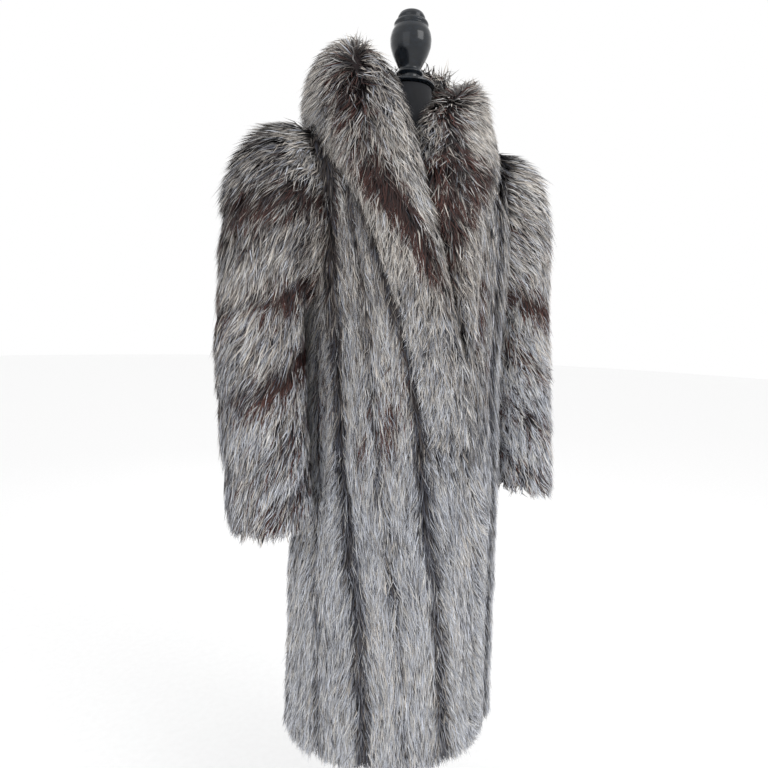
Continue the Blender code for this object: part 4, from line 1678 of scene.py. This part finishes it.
@dataclass
class CollarGrid:
    """The collar's hide on a grid of (stations, points), and what the fur's dressing reads from it.

    along and across are the unit ways over the grid. part and stand are each station's Part and how
    upright the collar is there, and share is the place across the collar of each point.
    """

    hide: np.ndarray
    normal: np.ndarray
    along: np.ndarray
    across: np.ndarray
    depth: np.ndarray
    part: np.ndarray
    base_level: np.ndarray
    stand: np.ndarray
    share: np.ndarray

    @property
    def right(self) -> np.ndarray:
        """Which stations are on the right lapel."""
        return self.part == Part.RIGHT.value

    @property
    def behind(self) -> np.ndarray:
        """Which stations are behind the neck."""
        return self.part == Part.BEHIND.value

    @property
    def left(self) -> np.ndarray:
        """Which stations are on the left lapel."""
        return self.part == Part.LEFT.value

    @property
    def round_back(self) -> np.ndarray:
        """The places of the stations behind the neck, from 0 at the right to 1 at the left."""
        return np.linspace(0, 1, int(self.behind.sum()))

    @property
    def middle(self) -> np.ndarray:
        """For the stations behind the neck, 1 except towards their ends."""
        return smooth_step(self.round_back, 0, 0.2) * (1 - smooth_step(self.round_back, 0.8, 1))

    @property
    def standing(self) -> np.ndarray:
        """How upright the collar is, as a column."""
        return self.stand[:, None]

    @property
    def top(self) -> np.ndarray:
        """1 for the stations on the shoulder's ridge, 0 for those down the lapels."""
        return smooth_step(self.base_level, 1.40, 1.445)


@dataclass
class Collar(FurCoatPiece):
    """The shawl collar with both lapels.

    Each station is a cubic from the seam that the collar rises from, up and over its roll, to its outer
    edge: base (1-s)^3 + 3 second s (1-s)^2 + 3 third s^2 (1-s) + edge s^3. The hair parts along a line a
    little past the roll and runs both ways from it, and on the lapels down towards their feet.
    """

    clear: float = 0.012
    seam: float = 0.0012
    lean: float = 0.20
    roll: float = 0.016
    left_lift: float = 0.012
    right_foot: float = 0.9467
    left_foot: float = 1.1167
    back_ends: tuple[float, float] = (207.0, 153.0)
    back_parting: float = 0.30
    length_mean: float = 0.056
    # base level, place across the collar of the hair's parting, of the brown's outer edge, how brown
    right_parting: Rows = (
        (0.94, 0.25, 0.0, 0.0),
        (1.15, 0.26, 0.0, 0.0),
        (1.21, 0.31, 0.42, 0.6),
        (1.25, 0.40, 0.53, 0.9),
        (1.29, 0.52, 0.66, 0.95),
        (1.34, 0.62, 0.76, 0.95),
        (1.37, 0.65, 0.78, 0.25),
        (1.40, 0.61, 0.70, 0.65),
        (1.43, 0.56, 0.66, 0.45),
        (1.452, 0.50, 0.60, 0.0),
    )
    left_parting: Rows = (
        (1.11, 0.12, 0.0, 0.0),
        (1.17, 0.13, 0.03, 0.3),
        (1.21, 0.17, 0.14, 0.8),
        (1.25, 0.22, 0.28, 0.9),
        (1.29, 0.28, 0.42, 0.95),
        (1.32, 0.32, 0.56, 0.95),
        (1.36, 0.35, 0.60, 0.9),
        (1.385, 0.35, 0.45, 0.6),
        (1.41, 0.30, 0.38, 0.65),
        (1.452, 0.26, 0.34, 0.2),
    )

    def _lapel(self, rows: Rows, levels: np.ndarray) -> np.ndarray:
        """A lapel's stations: base turn and level, edge turn and level, rise, edge rise, stand, fur."""
        columns = [eased(levels, rows, n) for n in range(1, 7)]
        return np.stack([right_edge(levels), levels, *columns])

    def _behind(self, turns: np.ndarray) -> np.ndarray:
        """The back collar's stations, in the same order.

        Args:
            turns: Where each starts on the neckline, in degrees.

        Returns:
            (numbers, stations).
        """
        across = turns - 180
        edge_across, edge_level, rise, edge_rise = (eased(across, BACK_COLLAR, n) for n in range(1, 5))
        base_level = FORM.back_levels(turns, np.full_like(turns, FORM.ridge))
        full = np.ones_like(turns)
        return np.stack([turns, base_level, 180 + edge_across, edge_level, rise, edge_rise, full, FUR * full])

    def field(self, stations: tuple[int, int, int], points: int) -> FurField:
        """The collar's fur on a grid of stations.

        Args:
            stations: Stations on the right lapel, behind the neck and on the left lapel.
            points: Points on each station.

        Returns:
            The fur field.
        """
        right = self._lapel(RIGHT_LAPEL, np.linspace(self.right_foot, FORM.ridge, stations[0]))
        behind = self._behind(np.linspace(*self.back_ends, stations[1]))
        left = self._lapel(LEFT_LAPEL, np.linspace(FORM.ridge, self.left_foot, stations[2]))
        tucked = left[0] + LEFT_LAPEL_TUCK
        left_lies = (tucked > left_edge(left[1]) - 0.01).astype(float)
        left[0] = np.maximum(left_edge(left[1]), tucked)
        part = np.repeat([p.value for p in Part], stations)
        base_turn, base_level, edge_turn, edge_level, rise, edge_rise, stand, fur = np.concatenate(
            [right, behind, left], 1
        )
        on_right = np.where(part < 0, LAP_LIFT, 0) * (1 - smooth_step(base_level, 1.36, 1.44))
        lies = np.concatenate([0 * right[0], 0 * behind[0], left_lies])
        base, edge = FORM.point(base_turn, base_level), FORM.point(edge_turn, edge_level)
        base_normal, edge_normal = FORM.normal(base_turn, base_level), FORM.normal(edge_turn, edge_level)
        toward_edge = unit(edge - base)
        base = base + base_normal * (on_right + lies * self.left_lift)[:, None] - toward_edge * self.seam
        edge = edge + edge_normal * (self.clear + on_right)[:, None]
        upright = np.array([0, 0, 1.0])
        standing = stand[:, None]
        base_way = base_normal * (1 - standing) + (upright + self.lean * toward_edge) * standing
        edge_way = edge_normal * (1 - standing) + (upright - self.lean * toward_edge) * standing
        second = base + base_way * rise[:, None] - toward_edge * self.roll
        third = edge + edge_way * edge_rise[:, None]
        share = np.linspace(0, 1, points)[None, :]
        s = share[..., None]
        hide = (
            base[:, None] * (1 - s) ** 3
            + 3 * second[:, None] * s * (1 - s) ** 2
            + 3 * third[:, None] * s**2 * (1 - s)
            + edge[:, None] * s**3
        )
        along, across = np.gradient(hide, axis=0), np.gradient(hide, axis=1)
        normal = unit(np.cross(along, across))
        taper = 0.75 + 0.25 * smooth_step(share, 0, 0.3) - 0.40 * smooth_step(share, 0.8, 1)
        depth = fur[:, None] * taper
        return self._dress(CollarGrid(hide, normal, unit(along), unit(across), depth, part, base_level, stand, share))

    def _partings(self, grid: CollarGrid) -> tuple[np.ndarray, np.ndarray, np.ndarray]:
        """The lines that the hair and the brown follow along the collar, which wander a little.

        Args:
            grid: The collar's grid.

        Returns:
            The place across the collar of the parting and of the brown's outer edge, and how brown it is.
        """
        wander = lattice_noise(grid.hide, (0.06, 0.06, 0.06), self.seed + 3)
        lines = []
        for column in (1, 2, 3):
            on_right = eased(grid.base_level, self.right_parting, column)
            line = np.where(grid.right, on_right, eased(grid.base_level, self.left_parting, column))
            first, last = self.right_parting[-1][column], self.left_parting[-1][column]
            line[grid.behind] = first + (last - first) * grid.round_back
            lines.append(line)
        lines[0][grid.behind] += (self.back_parting - lines[0][grid.behind]) * grid.middle
        parting, brown_edge, brown_share = (line[:, None] for line in lines)
        return parting + 0.035 * wander, brown_edge + 0.035 * wander, brown_share

    def _nap(self, grid: CollarGrid, off: np.ndarray) -> np.ndarray:
        """The way the hair lies: away from the parting, towards a lapel's foot, to the back and down.

        Args:
            grid: The collar's grid.
            off: How far past the parting each point is.

        Returns:
            Unit vectors.
        """
        standing = grid.standing
        sign = np.tanh(off / 0.06)
        inward = smooth_step(-off, -0.02, 0.12)
        out_weight = (0.34 + 0.80 * standing) * sign * (1 - 0.45 * inward)
        foot_weight = (1.0 - 0.78 * standing + 0.45 * standing * inward) * (1 - grid.top)[:, None]
        fall = 0.25 + 0.25 * standing + 0.60 * standing * inward
        to_back = -grid.top * grid.part
        to_back[grid.behind] = 1 - smooth_step(grid.round_back, 0, 0.3) - smooth_step(grid.round_back, 0.7, 1)
        points = grid.share.shape[1]
        ahead = np.clip(np.arange(points)[None, :] + np.rint(3 * sign).astype(int), 0, points - 1)
        bent = np.take_along_axis(grid.across, ahead[..., None], axis=1)
        down = np.array([0, 0, -1.0]) + grid.normal * grid.normal[..., 2:3]
        return unit(
            bent * out_weight[..., None]
            + grid.along * grid.part[:, None, None] * foot_weight[..., None]
            + grid.along * 0.9 * to_back[:, None, None]
            + down * fall[..., None]
        )

    def _brown(
        self, grid: CollarGrid, off: np.ndarray, brown_edge: np.ndarray, brown_share: np.ndarray
    ) -> np.ndarray:
        """The brown: a band past the parting on the right, and on the left a wedge that narrows to its top.

        Args:
            grid: The collar's grid.
            off: How far past the parting each point is.
            brown_edge: The brown's outer edge.
            brown_share: How brown it is.

        Returns:
            From 0 to 1.
        """
        share = grid.share
        band = smooth_step(off, -0.09, 0.0) * (1 - smooth_step(share, brown_edge - 0.03, brown_edge + 0.06))
        wedge = smooth_step(share, 0.08, 0.20) * (1 - smooth_step(share, brown_edge, brown_edge + 0.10))
        narrow = 0.75 * np.exp(-((off / 0.07) ** 2))
        wedge = wedge + (narrow - wedge) * smooth_step(grid.base_level, 1.33, 1.37)[:, None]
        gate = 1.05 + 0.35 * lattice_noise(grid.hide, (0.04, 0.04, 0.07), self.seed + 4)
        return np.where(grid.left[:, None], wedge, band) * np.clip(gate, 0, 1) * brown_share

    def _dress(self, grid: CollarGrid) -> FurField:
        """The fur on the collar's grid: its nap, its height and its tones.

        Args:
            grid: The collar's grid.

        Returns:
            The fur field.
        """
        share, standing, top = grid.share, grid.standing, grid.top
        parting, brown_edge, brown_share = self._partings(grid)
        off = share - parting
        brown = self._brown(grid, off, brown_edge, brown_share)
        high = smooth_step(grid.base_level, 1.34, 1.42)[:, None]
        low_left = grid.left[:, None] * (1 - high)

        mid_back = np.zeros(len(grid.part))
        mid_back[grid.behind] = grid.middle
        inner = (1 - smooth_step(share, 0.16, 0.40)) * (1 - 0.8 * mid_back)[:, None]
        outer = np.where(grid.left, 0.80, 0.0)[:, None] * smooth_step(share, 0.26, 0.44) * (1 - 0.4 * top[:, None])
        left_top = np.where(grid.left, top, 0.0)
        left_top[grid.behind] = smooth_step(grid.round_back, 0.3, 0.7)
        crown = np.exp(-(((share - 0.40) / 0.15) ** 2)) * 1.1 * left_top[:, None]
        right_top = np.where(grid.right, top, 0.0) + grid.behind * (1 - left_top)
        tip_top = np.exp(-(((share - 0.46) / 0.14) ** 2)) * right_top[:, None]
        depth = grid.depth * (1 - 0.45 * outer * standing)
        crest = depth * (1 - 0.60 * inner * standing) * (1 + crown)
        length = self.length_mean * (0.82 + 0.13 * standing) * (1 - 0.55 * inner * standing)
        hem_short = 0.40 * smooth_step(share, 0.7, 1.0) * (1 - outer)

        streaks = lattice_noise(grid.hide, (0.014, 0.014, 0.03), self.seed + 5)
        clouds = lattice_noise(grid.hide, (0.04, 0.04, 0.05), self.seed + 6)
        # painted shadow: a dark line just past the brown's outer edge on the low left lapel, standing for the lapel
        # edge's shadow
        brown_edge_shadow = np.exp(-(((share - brown_edge - 0.07) / 0.035) ** 2)) * low_left
        # painted shade: the tips are darkened along the parting and at the collar's outer edge
        painted_shade = np.exp(-((off / 0.05) ** 2)) * np.maximum(0.9 * brown_share, 0.25 * ~grid.behind[:, None])
        painted_shade = painted_shade + 0.9 * smooth_step(share, 0.93, 1.0) * (1 - 0.7 * low_left) + 0.8 * brown_edge_shadow
        crest_light = smooth_step(grid.base_level, 1.41, 1.45)[:, None]
        near_side = np.select([grid.right, grid.left], [0.42, -0.10], 0.0)[:, None] * (1 - 0.6 * crest_light)
        low_lapel = np.where(grid.left, 0.30, 0.22)[:, None] * (1 - high)
        brown = brown * (1 - 0.85 * tip_top)
        light = 0.14 + streaks * 0.42 + clouds * 0.26 - painted_shade * (1 - 0.7 * tip_top) - 0.3 * brown
        light = light - high * near_side * (1 - 0.8 * tip_top) - low_lapel
        warm = 0.30 + 0.55 * smooth_step(grid.base_level, 0.95, 1.25)[:, None] + 0.25 * clouds
        return FurField(
            hide=grid.hide,
            normal=grid.normal,
            nap=self._nap(grid, off),
            depth=depth,
            crest=crest * (1 - outer * standing) * (1 - 0.45 * tip_top),
            light=light,
            mahogany=np.clip(brown, 0, 1),
            warm=np.clip(warm, 0, 1),
            length=length * (1 - hem_short - 0.42 * outer * standing - 0.38 * tip_top),
            lift=0.10 * standing * (1 - tip_top) * (1 - outer),
            density=np.ones_like(depth),
        )


# ---------------------------------------------------------------- the dress form and its stand


SHARP_CORNER = math.radians(50)


def ringed_piece(name: str, rings: np.ndarray, material: bpy.types.Material) -> bpy.types.Object:
    """A closed shape from rings of points, bottom to top, shut by a point at each end.

    Args:
        name: The piece's name.
        rings: (rings, points round, 3).
        material: Its finish.

    Returns:
        The object.
    """
    rows, columns = rings.shape[:2]
    count = rows * columns
    points = np.concatenate([rings.reshape(-1, 3), rings[0].mean(0)[None], rings[-1].mean(0)[None]])
    quads = grid_faces(rows, columns, True)
    here = np.arange(columns)
    after = (here + 1) % columns
    top = (rows - 1) * columns
    low = np.stack([np.full(columns, count), after, here], 1)
    high = np.stack([np.full(columns, count + 1), top + here, top + after], 1)
    caps = np.concatenate([low, high])
    corners = np.concatenate([quads.ravel(), caps.ravel()])
    starts = np.concatenate([np.arange(len(quads)) * 4, quads.size + np.arange(len(caps)) * 3])
    made = mesh_piece(name, points, corners, starts, material)
    made.data.set_sharp_from_angle(angle=SHARP_CORNER)
    return made


@dataclass(frozen=True)
class TurnedPiece:
    """A turned shape: its profile, with its corners eased by cutting them twice, carried round the axis."""

    name: str
    profile: Rows
    foot: float
    sides: int = 96
    cut: float = 0.15

    def build(self, material: bpy.types.Material) -> bpy.types.Object:
        """Builds the shape.

        Args:
            material: Its finish.

        Returns:
            The object.
        """
        line = np.array(self.profile, float)[1:-1][::-1]
        for _ in range(2):
            near = line[:-1] * (1 - self.cut) + line[1:] * self.cut
            far = line[:-1] * self.cut + line[1:] * (1 - self.cut)
            line = np.concatenate([line[:1], np.stack([near, far], 1).reshape(-1, 2), line[-1:]])
        angle = np.linspace(0, 2 * math.pi, self.sides, endpoint=False)
        radius, height = line[:, 0:1], line[:, 1:2] + self.foot
        rings = np.stack([radius * np.sin(angle), -radius * np.cos(angle), height + 0 * angle], -1)
        return ringed_piece(self.name, rings, material)


@dataclass(frozen=True)
class Torso:
    """The limbless torso and neck, whole and closed: rings of |x/a|^n + |y/b|^n = 1."""

    square: float = 2.3
    sides: int = 72
    steps: int = 4

    def build(self, material: bpy.types.Material) -> bpy.types.Object:
        """Builds the torso.

        Args:
            material: Its finish.

        Returns:
            The object.
        """
        heights = np.array([row[0] for row in TORSO_RINGS])
        at = along_stack(heights, np.linspace(0, len(heights) - 1, (len(heights) - 1) * self.steps + 1))
        power = 2 / (self.square + (2 - self.square) * smooth_step(at, 1.36, 1.43))[:, None]
        angle = np.linspace(0, 2 * math.pi, self.sides, endpoint=False)[None, :]
        half_width, half_depth, centre_y = (eased(at, TORSO_RINGS, n)[:, None] for n in (1, 2, 3))
        x = half_width * np.sign(np.sin(angle)) * np.abs(np.sin(angle)) ** power
        y = centre_y - half_depth * np.sign(np.cos(angle)) * np.abs(np.cos(angle)) ** power
        rings = np.stack([x, y, at[:, None] + 0 * angle], -1)
        return ringed_piece("jersey_torso", rings, material)


# ---------------------------------------------------------------- the coat and the studio


@dataclass(frozen=True)
class Cut:
    """A piece's cut: its flat width, length and area, in metres."""

    width: float
    length: float
    area: float


@dataclass
class Coat:
    """The coat: six pieces of fur, each a pelt and the locks on it."""

    share: float = 1.0
    cuts: dict[str, Cut] = field(
        default_factory=lambda: {
            "right_front": Cut(0.40, 1.10, 0.36),
            "left_front": Cut(0.37, 1.10, 0.33),
            "back": Cut(0.62, 1.08, 0.60),
            "right_sleeve": Cut(0.40, 0.66, 0.21),
            "left_sleeve": Cut(0.38, 0.66, 0.20),
            "collar": Cut(1.30, 0.25, 0.24),
        }
    )

    def pieces(self) -> list[tuple[str, FurCoatPiece, FurField, FurField]]:
        """The six pieces of fur.

        Returns:
            Each piece's node, the piece, its fur field and the coarser one of its pelt.
        """
        count = self._count
        right_lines = ("right_4", "right_3", "right_2", "right_1")
        right = RightFront("right_front_fur", count(62000), 11, lines=right_lines, armholes=(1.0, 0.0))
        left_lines = ("left_0", "left_1", "left_2", "left_3")
        left = LeftFront("left_front_fur", count(44000), 23, lines=left_lines, armholes=(0.0, 1.0))
        back_lines = tuple(name for name in STRIP_LINES if name.startswith("back"))
        behind = Back("back_fur", count(46000), 37, width=0.0023, in_clump=5, lines=back_lines)
        sleeve = {"wrap": True, "width": 0.0020}
        right_tiers = ((1.345, 0.85), (1.190, 1.0), (1.055, 0.90), (0.945, 0.25), (0.865, 0.30))
        right_arm = Sleeve("right_sleeve_fur", count(44000), 41, side=-1, tiers=right_tiers, **sleeve)
        left_tiers = ((1.330, 0.30), (1.195, 0.95), (1.065, 0.35), (0.955, 0.40), (0.850, 0.2))
        left_look = {"flare": 0.83, "cap_lift": 0.018, "tone": 0.48, "shade": 0.30, "tiers": left_tiers}
        left_arm = Sleeve("left_sleeve_fur", count(36000), 53, side=1, **left_look, **sleeve)
        neck = Collar("collar_fur", count(64000), 67, width=0.0020, in_clump=7, curl=0.0030)
        fine, coarse = (56, 30), (30, 16)
        return [
            ("right_front", right, right.field(110, fine, True), right.field(44, coarse, False)),
            ("left_front", left, left.field(100, fine, True), left.field(40, coarse, False)),
            ("back", behind, behind.field(200, fine, True), behind.field(72, coarse, False)),
            ("right_sleeve", right_arm, right_arm.field(64, 7, True), right_arm.field(48, 4, False)),
            ("left_sleeve", left_arm, left_arm.field(64, 7, True), left_arm.field(48, 4, False)),
            ("collar", neck, neck.field((60, 30, 44), 26), neck.field((40, 24, 30), 16)),
        ]

    def _count(self, locks: int) -> int:
        """The number of locks that are grown."""
        return int(locks * self.share)

    def build(self) -> None:
        """Builds every piece and puts it in its solid's place."""
        hair, underfur = FoxHair().build(), Underfur().build()
        for node, piece, fur_field, pelt_field in self.pieces():
            shift = np.zeros_like(pelt_field.hide)
            if isinstance(piece, BodyPanel):
                shift = piece.seam_shift(pelt_field.depth.shape)
            pelt = piece.pelt(pelt_field, shift, underfur)
            locks = piece.grow(fur_field, hair)
            slot = "collar_fox" if node == "collar" else "silver_fox"
            for made in (pelt, locks):
                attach(made, BODY)
            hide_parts(node)
            LOG.info("%s: %d locks, %d faces of pelt", node, piece.locks, len(pelt.data.polygons))


@dataclass
class DressForm:
    """The form that wears the coat, from its finial down to its base."""

    neck_top: float = 1.520
    touch: float = 0.0005

    def build(self, nodes: dict[str, bpy.types.Object]) -> None:
        """Builds the form's pieces, and finishes the solids that stay.

        Args:
            nodes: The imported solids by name.
        """
        jersey, lacquer, steel = Jersey().build(), Lacquer().build(), PowderCoat().build()
        torso = Torso().build(jersey)
        self._place(torso, "form_torso")
        cap_foot = self.neck_top + self.touch
        cap = TurnedPiece("turned_cap", NECK_CAP_PROFILE, cap_foot).build(lacquer)
        self._place(cap, "neck_cap")
        finial_foot = cap_foot + NECK_CAP_PROFILE[0][1] + self.touch
        finial = TurnedPiece("turned_finial", FINIAL_PROFILE, finial_foot).build(lacquer)
        self._place(finial, "finial")
        base = TurnedPiece("round_base", BASE_PROFILE, 0.0, sides=144).build(steel)
        self._place(base, "base")
        for name in ("pole", "pole_collet"):
            node = nodes[name]
            node.data.materials.clear()
            node.data.materials.append(steel)
        LOG.info("dress form: torso, cap, finial, collet, pole and base")

    def _place(self, made: bpy.types.Object, node: str) -> None:
        """Puts a piece in its solid's place.

        Args:
            made: The piece.
            node: The solid that it stands for.
        """
        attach(made, BODY)
        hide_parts(node)


@dataclass(frozen=True)
class Lamp:
    """A soft square lamp that faces the coat's chest."""

    name: str
    place: tuple[float, float, float]
    size: float
    power: float
    colour: tuple[float, float, float] = (1.0, 1.0, 1.0)
    chest: float = 1.15

    def build(self) -> None:
        """Builds the lamp and turns it to the chest."""
        light = bpy.data.lights.new(self.name, "AREA")
        light.size = self.size
        light.energy = self.power
        light.color = self.colour
        made = bpy.data.objects.new(self.name, light)
        bpy.context.scene.collection.objects.link(made)
        made.location = self.place
        toward = Vector((0, 0, self.chest)) - Vector(self.place)
        made.rotation_euler = toward.to_track_quat("-Z", "Y").to_euler()


@dataclass
class Studio:
    """The floor, the light and the camera."""

    azimuth: float = -27.0
    pitch: float = 6.9
    roll: float = -1.8
    lens: float = 26.39
    height: float = 1.12
    distance: float = 1.06
    sideways: float = 0.0282
    floor_radius: float = 14.0
    floor_sides: int = 64
    surround: float = 1.0
    lamps: tuple[Lamp, ...] = (
        Lamp("key", (1.1, -2.3, 2.5), 1.5, 24.0),
        Lamp("fill", (-2.2, -1.6, 1.7), 1.8, 7.0, (0.93, 0.96, 1.0)),
        Lamp("behind", (0.4, 2.4, 2.4), 1.8, 7.0),
    )

    def build(self) -> None:
        """Builds all three."""
        self._floor()
        self._world()
        for lamp in self.lamps:
            lamp.build()
        self._camera()
        LOG.info("studio: floor, %d lamps and camera", len(self.lamps))

    def _floor(self) -> None:
        """A wide round floor."""
        sides = self.floor_sides
        angle = np.linspace(0, 2 * math.pi, sides, endpoint=False)
        rim = np.stack([np.sin(angle), -np.cos(angle), 0 * angle], -1) * self.floor_radius
        points = np.concatenate([rim, [[0, 0, 0]]])
        here = np.arange(sides)
        faces = np.stack([np.full(sides, sides), here, (here + 1) % sides], 1)
        floor = mesh_piece("floor", points, faces.ravel(), here * 3, Paper().build())

    def _world(self) -> None:
        """An even white surround."""
        world = bpy.data.worlds.new("surround")
        world.use_nodes = True
        background = world.node_tree.nodes["Background"]
        background.inputs["Color"].default_value = (1, 1, 1, 1)
        background.inputs["Strength"].default_value = self.surround
        bpy.context.scene.world = world
        bpy.context.scene.view_settings.view_transform = "Standard"

    def _camera(self) -> None:
        """The camera, to the front and the wearer's right, a little above the waist."""
        turn, tilt, twist = (math.radians(a) for a in (self.azimuth, self.pitch, self.roll))
        level_out = Vector((math.sin(turn), -math.cos(turn), 0))
        right = Vector((math.cos(turn), math.sin(turn), 0))
        back = level_out * math.cos(tilt) + Vector((0, 0, 1)) * math.sin(tilt)
        up = back.cross(right)
        place = level_out * self.distance + Vector((0, 0, self.height)) - right * self.sideways
        rolled_right = right * math.cos(twist) - up * math.sin(twist)
        rolled_up = up * math.cos(twist) + right * math.sin(twist)
        camera = bpy.data.cameras.new("camera")
        camera.lens = self.lens
        camera.sensor_width = 36.0
        made = bpy.data.objects.new("camera", camera)
        bpy.context.scene.collection.objects.link(made)
        axes = Matrix((rolled_right, rolled_up, back)).transposed().to_4x4()
        made.matrix_world = Matrix.Translation(place) @ axes
        bpy.context.scene.camera = made


def main() -> None:
    """Builds the scene."""
    logging.basicConfig(level=logging.INFO, format="%(message)s", stream=sys.stdout)
    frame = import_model()
    Studio().build()
    DressForm().build(frame["nodes"])
    Coat(share=1.0).build()


if __name__ == "__main__":
    main()
